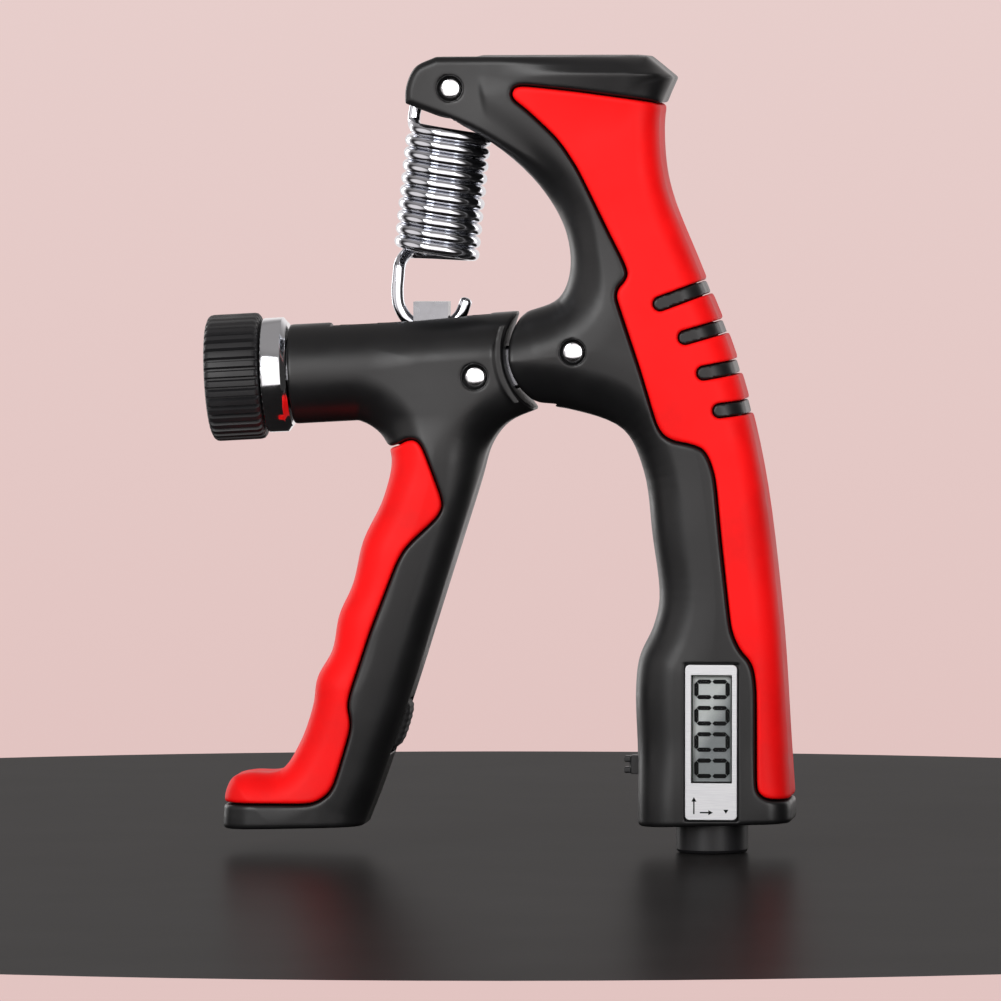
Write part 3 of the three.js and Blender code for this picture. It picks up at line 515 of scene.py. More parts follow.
def object_of(name, bm):
    """Turns a bmesh into an object whose faces look outwards."""
    bmesh.ops.recalc_face_normals(bm, faces=bm.faces)
    mesh = bpy.data.meshes.new(name)
    bm.to_mesh(mesh)
    bm.free()
    return bpy.data.objects.new(name, mesh)


def loft(name, rings, closed=True):
    """Joins rings of points, each with the same count, into a mesh; the ends are filled."""
    count = len(rings[0])
    points = [p for ring in rings for p in ring]
    quads = []
    for n in range(len(rings) - 1):
        for i in range(count):
            j = (i + 1) % count
            quads.append((n * count + i, n * count + j, (n + 1) * count + j, (n + 1) * count + i))
    bm = bmesh.new()
    verts = [bm.verts.new(Vector(p) * MM) for p in points]
    for q in quads:
        bm.faces.new([verts[i] for i in q])
    if closed:
        bm.faces.new([verts[i] for i in range(count)][::-1])
        bm.faces.new(verts[-count:])
    obj = object_of(name, bm)
    obj.data.shade_smooth()
    return obj


def crisp(obj, degrees):
    """Keeps edges sharper than the angle, and smooths the rest."""
    obj.data.set_sharp_from_angle(angle=math.radians(degrees))
    return obj


def bevelled(obj, width):
    """Rounds a piece's edges by a modifier; width in millimetres."""
    modifier = obj.modifiers.new("edges", "BEVEL")
    modifier.width = width * MM
    modifier.segments = 3
    modifier.limit_method = "ANGLE"
    modifier.angle_limit = math.radians(35)
    modifier.harden_normals = True


def turned(name, profile, place, sides, closed=True, degrees=30):
    """A body turned from (radius, distance) pairs; place puts (across, over, distance) in the frame."""
    angles = [2 * math.pi * i / sides for i in range(sides)]
    rings = [[place(r * math.cos(a), r * math.sin(a), d) for a in angles] for r, d in profile]
    return crisp(loft(name, rings, closed), degrees)


def on_y(at):
    return lambda across, over, d: (at[0] + across, d, at[1] + over)


def on_tube(across, over, d):
    x, z = along_tube(d, over)
    return (x, across, z)


def tube_ring(radii, d):
    """A ring round the tube's axis, with a radius for each of its evenly spaced angles."""
    angles = np.linspace(0, 2 * math.pi, len(radii), endpoint=False)
    return [on_tube(across, over, d) for across, over in zip(radii * np.cos(angles), radii * np.sin(angles))]


def on_z(across, over, d):
    return (RESET_X + across, over, d)


def swept(name, path, r):
    """A round wire along a path, with its ends rounded off."""
    sides = 20
    p = [Vector(q) for q in path]
    tangents = [(b - a).normalized() for a, b in zip([p[0], *p[:-1]], [*p[1:], p[-1]])]
    normal = tangents[0].orthogonal().normalized()
    rings = []
    for q, t in zip(p, tangents):
        normal = (normal - t * normal.dot(t)).normalized()
        other = t.cross(normal)
        rings.append([q + (normal * math.cos(a) + other * math.sin(a)) * r
                      for a in (2 * math.pi * i / sides for i in range(sides))])
    for index, q, t in ((0, p[0], -tangents[0]), (-1, p[-1], tangents[-1])):
        base = rings[index]
        caps = [[q + (v - q) * math.cos(b) + t * (r * 0.6 * math.sin(b)) for v in base]
                for b in (0.5, 1.0, 1.35)]
        rings = [*caps[::-1], *rings] if index == 0 else [*rings, *caps]
    return crisp(loft(name, rings), 60)


def spring_point(down, right, y):
    return (SPRING_TOP[0] + down * SPRING_DOWN[0] - right * SPRING_DOWN[1], y,
            SPRING_TOP[1] + down * SPRING_DOWN[1] + right * SPRING_DOWN[0])


def spring_path(from_turn, to_turn):
    count = round((to_turn - from_turn) * 28)
    turns = [from_turn + (to_turn - from_turn) * i / count for i in range(count + 1)]
    return [spring_point(COIL_START + COIL_PITCH * t, -COIL_R * math.cos(2 * math.pi * t),
                         -COIL_R * math.sin(2 * math.pi * t)) for t in turns]


def smooth_3d(points, steps=5):
    """A Catmull-Rom curve through points in space."""
    p = [Vector(q) for q in points]
    p = [2 * p[0] - p[1], *p, 2 * p[-1] - p[-2]]
    out = []
    for a, b, c, d in zip(p, p[1:], p[2:], p[3:]):
        for s in (i / steps for i in range(steps)):
            out.append(0.5 * ((2 * b) + (c - a) * s + (2 * a - 5 * b + 4 * c - d) * s * s
                              + (3 * b - a - 3 * c + d) * s ** 3))
    return [*out, p[-2]]


SPRING_CUT = 2.0  # the turn where the two pieces of the spring meet
CORNER = 0.09  # share of a turn that the bends into the hooks take at each end of the coil


def hook_arc(down, first):
    """Eight points, 25 degrees apart, round a hook whose centre lies at down."""
    angles = (math.radians(first + 25 * i) for i in range(8))
    return [spring_point(down - HOOK_R * math.sin(a), HOOK_R * math.cos(a), 0) for a in angles]


def springs():
    hook = hook_arc(0, -10)
    hook += [spring_point(COIL_START - 3, -COIL_R + 0.1, 0),
             spring_point(COIL_START - 0.9, -COIL_R + 0.2, -0.5)]
    upper = smooth_3d([*hook, spring_path(CORNER, SPRING_CUT)[0]]) + spring_path(CORNER, SPRING_CUT)[1:]
    foot = [spring_point(COIL_END + 1.9, -COIL_R + 0.3, 0.7), spring_point(COIL_END + 4.6, -HOOK_R - 0.1, 0)]
    foot += hook_arc(SPRING_LENGTH, 180)
    coil = spring_path(SPRING_CUT, COIL_TURNS - CORNER)
    lower = coil[:-1] + smooth_3d([coil[-1], *foot])
    return swept("spring_upper_loop", upper, WIRE_R), swept("spring_coil_and_hook", lower, WIRE_R)


def reset_coil():
    """Light compression spring between the reset button and the counter."""
    turns, radius, low, high = 5, 3.4, 11.15, 17.05
    angles = np.linspace(0, 2 * math.pi * turns, 18 * turns + 1)
    points = [(RESET_X + radius * math.cos(a), radius * math.sin(a), low + (high - low) * a / angles[-1])
              for a in angles]
    return swept("reset_coil", points, 0.33)


def knob():
    """Ribbed knob: fine ribs along its side that run out at both rounded ends."""
    start = -(COLLAR_LENGTH + GAP + KNOB_LENGTH)
    end = -(COLLAR_LENGTH + GAP)
    stations = [
        (6.0, start + 3.2, 0), (6.0, start + 0.5, 0), (6.5, start, 0), (KNOB_R - 2.2, start, 0),
        (KNOB_R - 1.3, start + 0.1, 0.3), (KNOB_R - 0.45, start + 0.5, 0.8), (KNOB_R - 0.1, start + 0.95, 1),
        (KNOB_R, start + 1.5, 1), (KNOB_R, (start + end) / 2, 1), (KNOB_R, end - 1.2, 1),
        (KNOB_R - 0.15, end - 0.6, 1), (KNOB_R - 0.6, end - 0.2, 0.7), (KNOB_R - 1.3, end, 0.2),
        (6.0, end, 0), (6.0, start + 3.2, 0),
    ]
    angles = np.linspace(0, 2 * math.pi, KNOB_RIBS * 12, endpoint=False)
    groove = RIB_DEPTH * ramp(np.cos(KNOB_RIBS * angles), 0.1, 0.9)
    rings = [tube_ring(r - share * groove, d) for r, d, share in stations]
    return crisp(loft("adjusting_knob", rings, closed=False), 40)


def adjusting_screw():
    """Threaded rod with a round head that has a hexagonal socket."""
    back = -SCREW_BACK
    head = [(0.05, back + 3.7), (2.4, back + 3.7), (2.4, back + 0.2), (2.7, back), (5.2, back),
            (5.6, back + 0.4), (5.6, -6.6), (SCREW_R, -6.6)]
    sides, socket_rings = 36, 3
    turn = np.arange(sides) / sides
    circle = np.ones(sides)
    hexagon = 0.9 / np.cos(turn * 2 * math.pi % (math.pi / 3) - math.pi / 6)
    rings = [tube_ring(r * (hexagon if n < socket_rings else circle), d) for n, (r, d) in enumerate(head)]
    first, last = -6.0, SCREW_LENGTH
    threaded_from, threaded_to, thread_depth = 6.6, last - 0.6, 0.42
    steps_per_turn = 8
    count = int((last - first) / THREAD_PITCH * steps_per_turn)
    for n in range(count + 1):
        d = first + (last - first) * n / count
        wave = np.abs((d / THREAD_PITCH - turn) % 1 - 0.5) * 2
        depth = wave * thread_depth if threaded_from < d < threaded_to else 0 * wave
        taper = max(0.0, d - last + 1) * 0.8
        rings.append(tube_ring(SCREW_R - depth - taper, d))
    return crisp(loft("adjusting_screw_threaded", rings), 50)


def collar():
    inner, deep = 4.9, 4
    profile = [
        (inner, deep), (inner, -COLLAR_LENGTH), (COLLAR_R - 0.5, -COLLAR_LENGTH),
        (COLLAR_R - 0.15, -COLLAR_LENGTH + 0.15), (COLLAR_R, -COLLAR_LENGTH + 0.5), (COLLAR_R, -1.3),
        (COLLAR_R - 0.1, -1.15), (COLLAR_R - 0.9, -0.55), (COLLAR_R - 1.1, -GAP), (BORE_R - GAP, -GAP),
        (BORE_R - GAP, deep), (inner, deep),
    ]
    return turned("tube_collar_ring", profile, on_tube, 96, closed=False, degrees=24)


def pin_piece(name, at, half):
    """A pin with domed ends a little below the side faces."""
    end = half - PIN_RECESS
    dome = [(PIN_R * math.sin(a), end - 0.55 * (1 - math.cos(a))) for a in np.linspace(0.03, math.pi / 2, 9)]
    profile = [(r, -d) for r, d in dome] + [(2.0, -end + 1.6), (2.0, end - 1.6)] + dome[::-1]
    return crisp(turned(name, profile, on_y(at), 48), 60)


def case_screw(name, at):
    """Pan-head screw with a cross recess, as a fine distance field."""
    g = Grid((at[0] - 3.2, 1.0, at[1] - 3.2), (at[0] + 3.2, 11.4, at[1] + 3.2), 0.14)
    r = np.hypot(g.x - at[0], g.z - at[1])
    shank = both(r - 1.2 + 0.25 * np.abs(((g.y / 0.9) % 1) - 0.5) * 2, 1.5 - g.y, g.y - 9.8)
    head = both(np.sqrt(r * r + (g.y - 6.2) ** 2) - 4.55, r - 2.5, 9.5 - g.y)
    arms = either(both(np.abs(g.x - at[0]) - 0.32, np.abs(g.z - at[1]) - 1.4),
                  both(np.abs(g.z - at[1]) - 0.32, np.abs(g.x - at[0]) - 1.4))
    recess = both(arms, 9.7 - g.y)
    return skin_of(name, g, soft_both(soft_either(shank, head, 0.3), -recess, 0.15))


def trigger():
    """Counting key: a square stem with two rounded prongs at its tip."""
    g = Grid((23.6, -3.2, 14.2), (35.6, 3.2, 21), 0.14)
    over_z = np.abs(g.z - TRIGGER_Z)
    field = rounded(both(np.abs(g.y) - 2, over_z - 1.9), both(26.4 - g.x, g.x - 34.1), 0.35)
    for z in (TRIGGER_Z - 1.1, TRIGGER_Z + 1.1):
        prong = rounded(np.abs(g.z - z) - 0.62, both(np.abs(g.y) - 1.6, 25.1 - g.x, g.x - 27), 0.3)
        field = soft_either(field, prong, 0.35)
    bar = both(over_z - 1.7, np.abs(g.y) - 0.45, 26.1 - g.x, g.x - 27)
    return skin_of("count_key", g, soft_either(field, bar, 0.2))


def reset_key():
    r = RESET_R
    profile = [(0.05, 0.35), (r - 2.4, 0.35), (r - 1.9, 0.05), (r - 0.9, 0.0), (r - 0.35, 0.2), (r, 0.75),
               (r, 8.9), (8.3, 8.9), (8.3, 10.1), (2.2, 10.1), (2.2, 15.2), (0.05, 15.2)]
    return turned("reset_key", profile, on_z, 96)


def striker():
    g = Grid((-26, -5.8, 18), (-15.6, 5.8, 33), 0.2)
    side = g.outline(soften(PAD_OUTLINE, 2))
    body = rounded(side, np.abs(g.y) - PAD_HALF, 0.9)
    rib_height, rib_pitch = 0.12, 1.3
    ribs = rib_height * (0.5 + 0.5 * np.cos(g.z * 2 * math.pi / rib_pitch)) * ramp(side, -1.2, -0.2)
    return skin_of("striker_rubber", g, body + ribs)


def link():
    """Steel link with an eye round the pivot; its edges are lightly rounded."""
    g = Grid((-9.4, -5, 90), (23.4, 5, 108.4), 0.25)
    plan = soft_either(g.capsule(LEVER_PIN, PIVOT, 4.0), g.round_y(PIVOT, 6.5), 3.0)
    plan = both(plan, -g.round_y(PIVOT, 3.9), -g.round_y(LEVER_PIN, 2.3))
    return skin_of("steel_link", g, rounded(plan, np.abs(g.y) - LINK_HALF, 0.4))


# ---- counter ----


def panel(name, size, y0, y1, corner, edge, hole):
    """A flat plate in the counter with rounded corners, and a hole for the window."""
    x, z, w, h = size["x"], size["z"], size["width"] / 2, size["height"] / 2
    g = Grid((x - w - 0.6, y0 - 0.4, z - h - 0.6), (x + w + 0.6, y1 + 0.4, z + h + 0.6), 0.12)
    plan = rounded(np.abs(g.x - x) - w, np.abs(g.z - z) - h, corner)
    cut = both(np.abs(g.x - hole["x"]) - hole["width"] / 2, np.abs(g.z - hole["z"]) - hole["height"] / 2)
    return skin_of(name, g, rounded(both(plan, -cut), np.abs(g.y - (y0 + y1) / 2) - (y1 - y0) / 2, edge))


def prisms(name, outlines, y0, y1):
    """Thin flat marks, each an outline in the XZ plane, as one mesh."""
    bm = bmesh.new()
    for points in outlines:
        low = [bm.verts.new(Vector((x, y0, z)) * MM) for x, z in points]
        high = [bm.verts.new(Vector((x, y1, z)) * MM) for x, z in points]
        bm.faces.new(low)
        bm.faces.new(high[::-1])
        for i in range(len(points)):
            j = (i + 1) % len(points)
            bm.faces.new((low[j], low[i], high[i], high[j]))
    return object_of(name, bm)


DIGIT_LONG, DIGIT_SHORT = 7.1, 3.95  # size of a digit across the window and along it
DIGIT_PITCH = 5.26
DIGIT_FIRST = 33.35
SEGMENT = 0.86


def segment(centre, length, upright, cut=1.0):
    """One stroke of a seven-segment digit, a bar with pointed ends."""
    a, b, t = length / 2, length / 2 - SEGMENT / 2 * cut, SEGMENT / 2
    points = [(-a, 0), (-b, t), (b, t), (a, 0), (b, -t), (-b, -t)]
    if upright:
        points = [(-z, x) for x, z in points]
    return [(centre[0] + x, centre[1] + z) for x, z in points]


def digit_strokes(z):
    """A zero lying on its side: its long axis runs across the window."""
    x = WINDOW["x"]
    long_half, short_half = DIGIT_LONG / 2 - SEGMENT / 2, DIGIT_SHORT / 2 - SEGMENT / 2
    half_length = long_half - 0.1
    strokes = []
    for side in (-1, 1):
        for end in (-1, 1):
            strokes.append(segment((x + end * long_half / 2, z + side * short_half), half_length, False))
        strokes.append(segment((x + side * long_half, z), 2 * short_half - 0.1, True))
    return strokes


def lcd_digits():
    outlines = []
    for n in range(4):
        outlines += digit_strokes(DIGIT_FIRST - n * DIGIT_PITCH)
    return prisms("lcd_digits", outlines, -10.78, -10.69)


def bar_outline(x0, x1, z0, z1):
    return [(x0, z0), (x0, z1), (x1, z1), (x1, z0)]


def arrow_marks():
    """Plain arrows printed under the window: one up, one to the right, and a small triangle."""
    x, z = LABEL["x"] - 3.4, LABEL["z"] - LABEL["height"] / 2 + 1.2
    thin = 0.13
    up = bar_outline(x - thin, x + thin, z, z + 2.6)
    up_head = [(x - 0.5, z + 2.5), (x, z + 3.4), (x + 0.5, z + 2.5)]
    right = bar_outline(x + 1.2, x + 3.0, z + 0.3 - thin, z + 0.3 + thin)
    right_head = [(x + 2.9, z - 0.2), (x + 2.9, z + 0.8), (x + 3.8, z + 0.3)]
    small = [(x + 5.9, z + 0.9), (x + 6.9, z + 0.9), (x + 6.4, z + 0.1)]
    return prisms("face_marks", [up, up_head, right, right_head, small], -12.24, -12.16)


# ---- materials ----


def srgb(*channels):
    """Linear colour from the usual 0..255 values."""
    return (*(((c / 255 + 0.055) / 1.055) ** 2.4 if c > 10 else c / 255 / 12.92 for c in channels), 1.0)


MAP_INPUTS = ("Value", "From Min", "From Max", "To Min", "To Max")


def add_node(tree, kind, links, values):
    """A shader node. Each link names an input, and gives it a value or another node's output."""
    made = tree.nodes.new("ShaderNode" + kind)
    for key, value in values.items():
        setattr(made, key, value)
    for socket, source in links:
        if hasattr(source, "is_linked"):
            tree.links.new(source, made.inputs[socket])
        else:
            made.inputs[socket].default_value = source
    return made


class Finish:
    """A Principled material whose detail is built up from procedural textures in object space."""

    def __init__(self, name, colour, roughness, metallic=0.0, **sockets):
        self.material = bpy.data.materials.new(name)
        self.material.use_nodes = True
        self.tree = self.material.node_tree
        self.surface = self.tree.nodes["Principled BSDF"]
        self.place = self.tree.nodes.new("ShaderNodeTexCoord").outputs["Object"]
        self.surface.inputs["Base Color"].default_value = colour
        self.surface.inputs["Roughness"].default_value = roughness
        self.surface.inputs["Metallic"].default_value = metallic
        for key, value in sockets.items():
            self.surface.inputs[key.replace("_", " ")].default_value = value
        self.normal = None

    def node(self, kind, links=(), **values):
        return add_node(self.tree, kind, links, values)

    def scaled(self, stretch):
        return self.node("Mapping", [("Vector", self.place), ("Scale", stretch)]).outputs[0]

    def noise(self, scale, detail=2.0, stretch=(1, 1, 1)):
        """Cloudy noise; scale is in features per metre."""
        where = self.scaled(stretch)
        return self.node("TexNoise", [("Vector", where), ("Scale", scale), ("Detail", detail)]).outputs["Fac"]

    def cells(self, scale):
        return self.node("TexVoronoi", [("Vector", self.place), ("Scale", scale)]).outputs["Distance"]

    def ranged(self, value, low, high, to_low, to_high):
        return self.node("MapRange", zip(MAP_INPUTS, (value, low, high, to_low, to_high))).outputs[0]

    def maths(self, operation, a, b=0.0):
        return self.node("Math", [(0, a), (1, b)], operation=operation).outputs[0]

    def axis(self, name):
        return self.node("SeparateXYZ", [("Vector", self.place)]).outputs[name]

    def tint(self, value, low, high, low_colour, high_colour):
        """Colour that runs from one value to another as a texture goes from low to high."""
        share = self.ranged(value, low, high, 0.0, 1.0)
        mix = self.node("Mix", [("Factor", share)], data_type="RGBA")
        mix.inputs[6].default_value = low_colour
        mix.inputs[7].default_value = high_colour
        self.tree.links.new(mix.outputs[2], self.surface.inputs["Base Color"])

    def rough(self, value, low, high):
        spread = self.ranged(value, 0.3, 0.7, low, high)
        self.tree.links.new(spread, self.surface.inputs["Roughness"])

    def bump(self, value, depth, strength=1.0):
        """Raises the surface by depth metres where the texture is 1."""
        links = [("Height", value), ("Distance", depth), ("Strength", strength)]
        if self.normal is not None:
            links.append(("Normal", self.normal))
        self.normal = self.node("Bump", links).outputs[0]
        self.tree.links.new(self.normal, self.surface.inputs["Normal"])

    def parting_line(self):
        """The fine line where the two halves of a moulding meet, at y = 0."""
        distance = self.maths("ABSOLUTE", self.axis("Y"))
        self.bump(self.ranged(distance, 0.00006, 0.0002, 0.0, 1.0), 0.00012)


def darker(colour, share):
    return (*(c * share for c in colour[:3]), 1.0)


def moulded(name, colour, roughness, grain, depth, **sockets):
    """Moulded plastic or rubber: fine grain, slight shade changes and worn-smooth patches."""
    f = Finish(name, colour, roughness, **sockets)
    f.tint(f.noise(70, 4), 0.35, 0.65, darker(colour, 0.88), darker(colour, 1.1))
    f.rough(f.noise(140, 5), roughness - 0.05, roughness + 0.06)
    f.bump(f.noise(grain, 3), depth, 0.6)
    return f


def polished(name, colour, roughness):
    """Polished plated metal: faint swirl marks, smudges and a slight waviness."""
    f = Finish(name, colour, roughness, 1.0)
    f.rough(f.noise(420, 5), roughness * 0.6, roughness * 1.7)
    f.bump(f.noise(160, 2), 0.00002, 0.25)
    f.bump(f.noise(5200, 2, (1, 1, 6)), 0.000003, 0.3)
    return f


def brushed(name, colour, roughness, stretch):
    """Machined metal with fine lines one way and a little colour drift."""
    f = Finish(name, colour, roughness, 1.0)
    f.tint(f.noise(90, 3), 0.3, 0.7, darker(colour, 0.8), darker(colour, 1.1))
    f.rough(f.noise(700, 3, stretch), roughness - 0.08, roughness + 0.12)
    f.bump(f.noise(1500, 2, stretch), 0.00001, 0.5)
    return f


BLACK = srgb(20, 20, 21)
RED = srgb(255, 12, 14)

shell_finish = moulded("black_satin_moulding", BLACK, 0.36, 5200, 0.000012, Specular_IOR_Level=0.42)
shell_finish.parting_line()
grip_finish = moulded("red_soft_grip", RED, 0.5, 4200, 0.000016, Specular_IOR_Level=0.16)
knob_finish = moulded("black_ribbed_moulding", srgb(25, 25, 27), 0.48, 3800, 0.00002)
key_finish = moulded("black_key_moulding", srgb(24, 24, 26), 0.4, 5200, 0.00001)
rubber_finish = moulded("striker_rubber_compound", srgb(24, 24, 25), 0.7, 3000, 0.00004)
chrome_finish = polished("chrome_plate", srgb(226, 228, 232), 0.07)
wire_finish = polished("chromed_spring_wire", srgb(218, 220, 226), 0.09)
pin_finish = polished("polished_pin_steel", srgb(232, 232, 235), 0.1)
steel_finish = brushed("zinc_plated_steel", srgb(176, 178, 184), 0.3, (1, 30, 1))
bracket_finish = brushed("satin_nickel_plate", srgb(150, 151, 155), 0.2, (1, 20, 1))
thread_finish = brushed("oiled_thread_steel", srgb(150, 152, 158), 0.28, (1, 12, 12))
brass_finish = brushed("turned_brass", srgb(196, 152, 84), 0.3, (12, 1, 12))
spring_steel_finish = brushed("sprung_clip_steel", srgb(190, 172, 122), 0.3, (20, 1, 1))
nylon_finish = moulded("natural_nylon", srgb(226, 222, 210), 0.45, 2600, 0.00002, Subsurface_Weight=0.15)
switch_finish = moulded("switch_housing", srgb(34, 35, 38), 0.45, 3600, 0.00002)
ink_finish = moulded("printed_ink", srgb(8, 8, 9), 0.5, 6000, 0.000004, Specular_IOR_Level=0.1)


def faceplate_material():
    """Pale brushed-look plate round the display."""
    f = Finish("pale_face_plate", srgb(224, 225, 228), 0.34, Specular_IOR_Level=0.5)
    f.tint(f.noise(260, 3, (1, 1, 30)), 0.3, 0.7, srgb(216, 217, 221), srgb(232, 233, 235))
    f.rough(f.noise(900, 3, (1, 1, 40)), 0.26, 0.42)
    f.bump(f.noise(2600, 2, (1, 1, 30)), 0.000006, 0.4)
    return f


def lcd_material():
    """Grey reflective display with a painted diagonal glare in its colour, lighter on one side of a slanted
    line and darker on the other, and its fine electrode lines.
    """
    f = Finish("lcd_glass_layer", srgb(160, 163, 163), 0.3, Specular_IOR_Level=0.1)
    # Painted glare: the base colour runs from light grey to darker grey across a diagonal line, standing in
    # for a reflection of the lights.
    painted_glare_slant = f.maths("ADD", f.axis("X"), f.maths("MULTIPLY", f.axis("Z"), -0.55))
    share = f.ranged(painted_glare_slant, 0.0265, 0.0305, 0.0, 1.0)
    f.tint(share, 0.0, 1.0, srgb(196, 198, 197), srgb(132, 135, 136))
    f.bump(f.node("TexWave", [("Vector", f.place), ("Scale", 800.0)]).outputs["Fac"], 0.000002, 0.2)
    return f


def board_material():
    """Green circuit board: masked copper tracks under a gloss layer."""
    f = Finish("green_circuit_board", srgb(30, 92, 52), 0.35, Coat_Weight=0.6)
    f.tint(f.cells(420), 0.18, 0.26, srgb(52, 128, 74), srgb(26, 84, 46))
    f.bump(f.cells(420), 0.00003, 0.4)
    return f


def cell_material():
    """Coin cell: spun steel can with rings."""
    f = Finish("coin_cell_can", srgb(196, 198, 204), 0.25, 1.0)
    x, z = 0.0424, 0.033  # the cell's axis
    dx, dz = f.maths("SUBTRACT", f.axis("X"), x), f.maths("SUBTRACT", f.axis("Z"), z)
    radius = f.maths("SQRT", f.maths("ADD", f.maths("MULTIPLY", dx, dx), f.maths("MULTIPLY", dz, dz)))
    rings = f.maths("SINE", f.maths("MULTIPLY", radius, 30000.0))
    f.bump(rings, 0.000004, 0.5)
    f.rough(f.noise(600, 3), 0.2, 0.34)
    return f


def window_material():
    """Clear cover: it shows what is behind it and adds a faint reflection and hairline scratches."""
    f = Finish("clear_cover", srgb(60, 62, 62), 0.06, Specular_IOR_Level=0.8)
    clear = f.node("BsdfTransparent", [("Color", (0.99, 1.0, 1.0, 1.0))])
    edge = f.node("LayerWeight", [("Blend", 0.12)]).outputs["Fresnel"]
    share = f.ranged(edge, 0.0, 1.0, 0.012, 0.9)
    mix = f.node("MixShader", [("Fac", share), (1, clear.outputs[0]), (2, f.surface.outputs[0])])
    f.tree.links.new(mix.outputs[0], f.tree.nodes["Material Output"].inputs["Surface"])
    f.rough(f.noise(2400, 2, (1, 1, 8)), 0.03, 0.1)
    f.bump(f.noise(300, 2), 0.000004, 0.3)
    return f


# ---- putting the pieces on their bodies ----
scene = bpy.context.scene


def shown(obj, finish, slot, *nodes):
    scene.collection.objects.link(obj)
    obj.data.materials.append(finish.material)
    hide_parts(*nodes)


def mounted(obj, body, finish, slot, *nodes):
    """A finished piece that stands for its CAD nodes and moves with a body."""
    shown(obj, finish, slot, *nodes)
    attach(obj, body)


def dressed(node, finish, edge):
    """A CAD node whose shape is right: it gets its finish, and its edges are broken."""
    obj = NODES[node]
    for material_slot in obj.material_slots:
        material_slot.link = "OBJECT"
        material_slot.material = finish.material
    bevelled(obj, edge)


handle, handle_grip = main_body()
mounted(handle, "main", shell_finish, "black_shell", "main_shell_near", "main_shell_far")
mounted(handle_grip, "main", grip_finish, "red_grip", "main_grip")
lever, lever_grip = lever_body()
mounted(lever, "lever", shell_finish, "black_shell", "lever_shell_near", "lever_shell_far")
mounted(lever_grip, "lever", grip_finish, "red_grip", "lever_grip")
mounted(striker(), "lever", rubber_finish, "pad_rubber", "striker_pad")
mounted(link(), "lever", steel_finish, "steel", "link_plate")

for pin, body, at, half in (
    ("pivot_pin", "main", PIVOT, MAIN_HALF),
    ("spring_pin", "main", SPRING_PIN, NOSE_HALF),
    ("lever_pin", "lever", LEVER_PIN, LEVER_HALF),
):
    mounted(pin_piece(f"{pin}_domed", at, half), body, pin_finish, "chrome", pin)
for body, piece, screws in (("main", "handle", MAIN_SCREWS), ("lever", "lever", LEVER_SCREWS)):
    for count, place in enumerate(screws, 1):
        screw = case_screw(f"{piece}_screw_{count}", place)
        mounted(screw, body, steel_finish, "steel", f"{body}_case_screw_{count}")

mounted(knob(), "knob", knob_finish, "black_parts", "adjust_knob")
mounted(adjusting_screw(), "knob", thread_finish, "steel", "adjust_screw")
mounted(collar(), "lever", chrome_finish, "chrome", "tube_collar")

upper, lower = springs()
shown(upper, wire_finish, "chrome", "spring_upper")
shown(lower, wire_finish, "chrome", "spring_middle", "spring_lower")


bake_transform(upper)
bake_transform(lower)

mounted(panel("counter_face", LABEL, -12.2, -11.3, 0.9, 0.14, WINDOW), "main", faceplate_material(),
        "label_plate", "counter_faceplate")
mounted(trigger(), "trigger", key_finish, "black_parts", "count_trigger")
mounted(reset_key(), "reset", key_finish, "black_parts", "reset_button")
coil = reset_coil()
mounted(coil, "main", wire_finish, "chrome", "reset_spring")
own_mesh(coil)
mounted(lcd_digits(), "main", ink_finish, "lcd")
mounted(arrow_marks(), "main", ink_finish, "label_plate")

for name, finish, edge in (
    ("pivot_bush", brass_finish, 0.15),
    ("pivot_washer_near", nylon_finish, 0.1),
    ("pivot_washer_far", nylon_finish, 0.1),
    ("retaining_ring", spring_steel_finish, 0.12),
    ("screw_bush", brass_finish, 0.12),
    ("slider_nut", steel_finish, 0.25),
    ("hook_eye", bracket_finish, 0.28),
    ("display_window", window_material(), 0.08),
    ("lcd_panel", lcd_material(), 0.08),
    ("counter_board", board_material(), 0.08),
    ("coin_cell", cell_material(), 0.25),
    ("cell_clip", spring_steel_finish, 0.12),
    ("trigger_switch", switch_finish, 0.2),
    ("reset_switch", switch_finish, 0.2),
):
    dressed(name, finish, edge)

# ---- floor, light and camera ----


def studio_floor():
    """A dark round stand with a matt top."""
    radius, sides = 0.3, 128
    angles = [2 * math.pi * i / sides for i in range(sides)]
    mesh = bpy.data.meshes.new("stand")
    points = [(radius * math.cos(a), radius * math.sin(a), 0) for a in angles]
    mesh.from_pydata(points, [], [list(range(sides))])
    stand = bpy.data.objects.new("stand", mesh)
    scene.collection.objects.link(stand)
    f = Finish("dark_matt_stand", srgb(38, 37, 37), 0.35, Specular_IOR_Level=0.002)
    f.tint(f.noise(30, 3), 0.3, 0.7, srgb(36, 35, 35), srgb(41, 40, 40))
    mesh.materials.append(f.material)


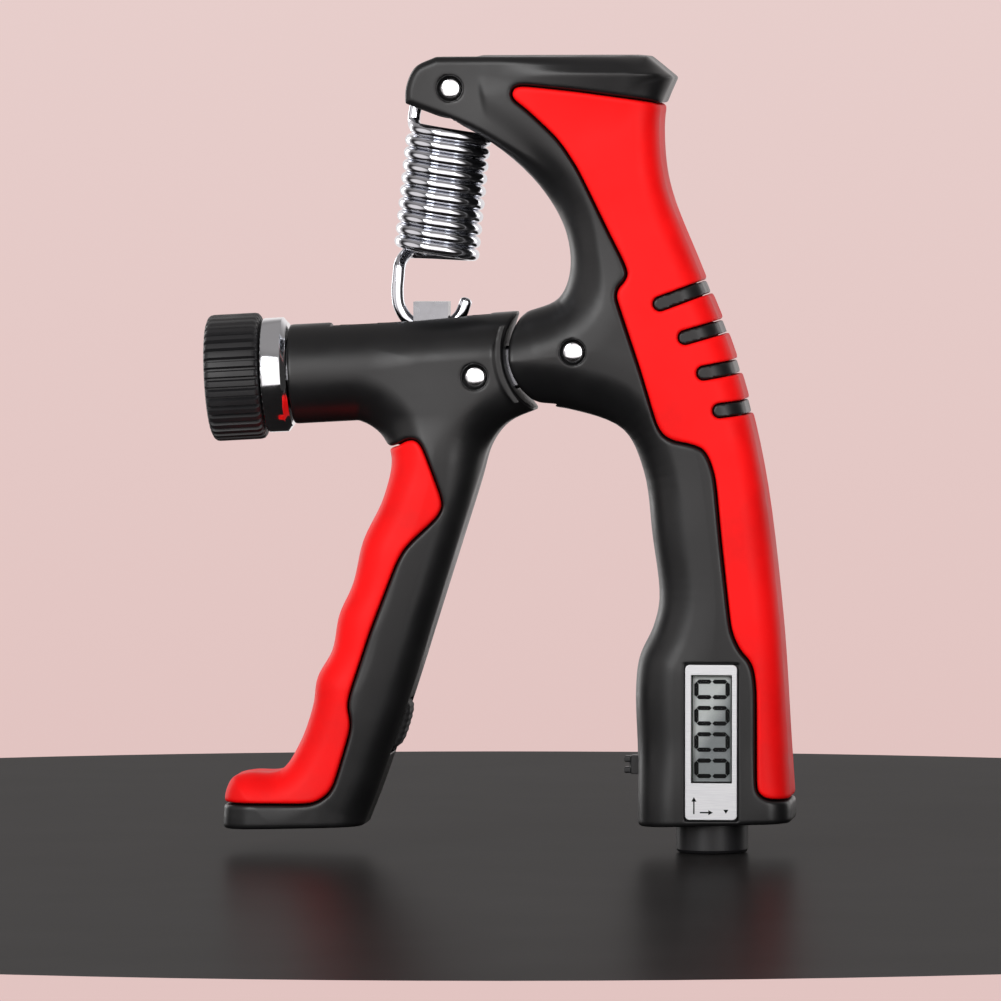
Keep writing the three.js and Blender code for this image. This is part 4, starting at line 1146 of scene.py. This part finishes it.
def studio_world():
    """The camera sees a plain pale backdrop; the part sees a room lit from the front, back, left and top."""
    world = bpy.data.worlds.new("studio")
    scene.world = world
    world.use_nodes = True
    tree = world.node_tree
    tree.nodes.clear()

    def node(kind, links=(), **values):
        return add_node(tree, kind, links, values)

    def lobe(value, start, end, strength):
        links = zip(MAP_INPUTS, (value, start, end, 0.0, strength))
        return node("MapRange", links, interpolation_type="SMOOTHSTEP").outputs[0]

    def along(way):
        return node("VectorMath", [(0, direction), (1, way)], operation="DOT_PRODUCT").outputs["Value"]

    direction = node("TexCoord").outputs["Generated"]
    split = node("SeparateXYZ", [(0, direction)])
    height = node("Math", [(0, split.outputs["Z"])], operation="ABSOLUTE").outputs[0]
    front = lobe(along((0.16, -0.975, -0.14)), 0.6, 0.84, 1.5)
    back = node("Math", [(0, lobe(split.outputs["Y"], 0.3, 0.6, 0.9)), (1, lobe(height, 0.7, 0.3, 1.0))],
                operation="MULTIPLY").outputs[0]
    left = lobe(along((-0.93, -0.36, 0.05)), 0.84, 0.95, 0.9)
    overhead = lobe(split.outputs["Z"], 0.35, 0.8, 0.3)
    everywhere = 0.04
    level = front
    for light in (back, left, overhead, everywhere):
        level = node("Math", [(0, level), (1, light)], operation="ADD").outputs[0]
    room = node("Background", [("Color", (1.0, 0.95, 0.94, 1.0)), ("Strength", level)])

    ramp_node = node("ValToRGB", [(0, lobe(split.outputs["Z"], -1.0, 1.0, 1.0))])
    elements = ramp_node.color_ramp.elements
    for element, colour in zip(elements, (srgb(226, 196, 193), srgb(240, 222, 220))):
        element.color = colour
    elements[0].position, elements[1].position = 0.45, 0.6
    backdrop = node("Background", [("Color", ramp_node.outputs[0])])
    ray = node("LightPath").outputs["Is Camera Ray"]
    mix = node("MixShader", [("Fac", ray), (1, room.outputs[0]), (2, backdrop.outputs[0])])
    node("OutputWorld", [("Surface", mix.outputs[0])])


def softbox(name, place, size, power):
    """A rectangular light that faces the middle of the part."""
    target = Vector((0.0, 0.0, 0.08))
    light = bpy.data.lights.new(name, "AREA")
    light.shape = "RECTANGLE"
    light.size, light.size_y = size
    light.energy = power
    obj = bpy.data.objects.new(name, light)
    obj.location = place
    obj.rotation_euler = (target - Vector(place)).to_track_quat("-Z", "Y").to_euler()
    scene.collection.objects.link(obj)


def camera():
    azimuth, elevation, distance = math.radians(5.5), math.radians(2.5), 2.2
    target = Vector((0.0, 0.0, 0.07045))
    away = Vector((math.sin(azimuth) * math.cos(elevation), -math.cos(azimuth) * math.cos(elevation),
                   math.sin(elevation)))
    data = bpy.data.cameras.new("camera")
    data.lens = 394
    data.clip_start = 0.01
    obj = bpy.data.objects.new("camera", data)
    obj.location = target + away * distance
    obj.rotation_euler = (-away).to_track_quat("-Z", "Y").to_euler()
    scene.collection.objects.link(obj)
    scene.camera = obj


studio_floor()
studio_world()
softbox("front_left", (-0.6, -1.2, 0.55), (0.5, 0.8), 9)
softbox("front_right", (0.75, -1.15, 0.25), (0.3, 0.9), 3)
softbox("rim_left", (-0.8, 0.75, 0.3), (0.25, 0.8), 2)
softbox("rim_right", (0.85, 0.75, 0.3), (0.2, 0.8), 1)
camera()
scene.view_settings.view_transform = "Standard"
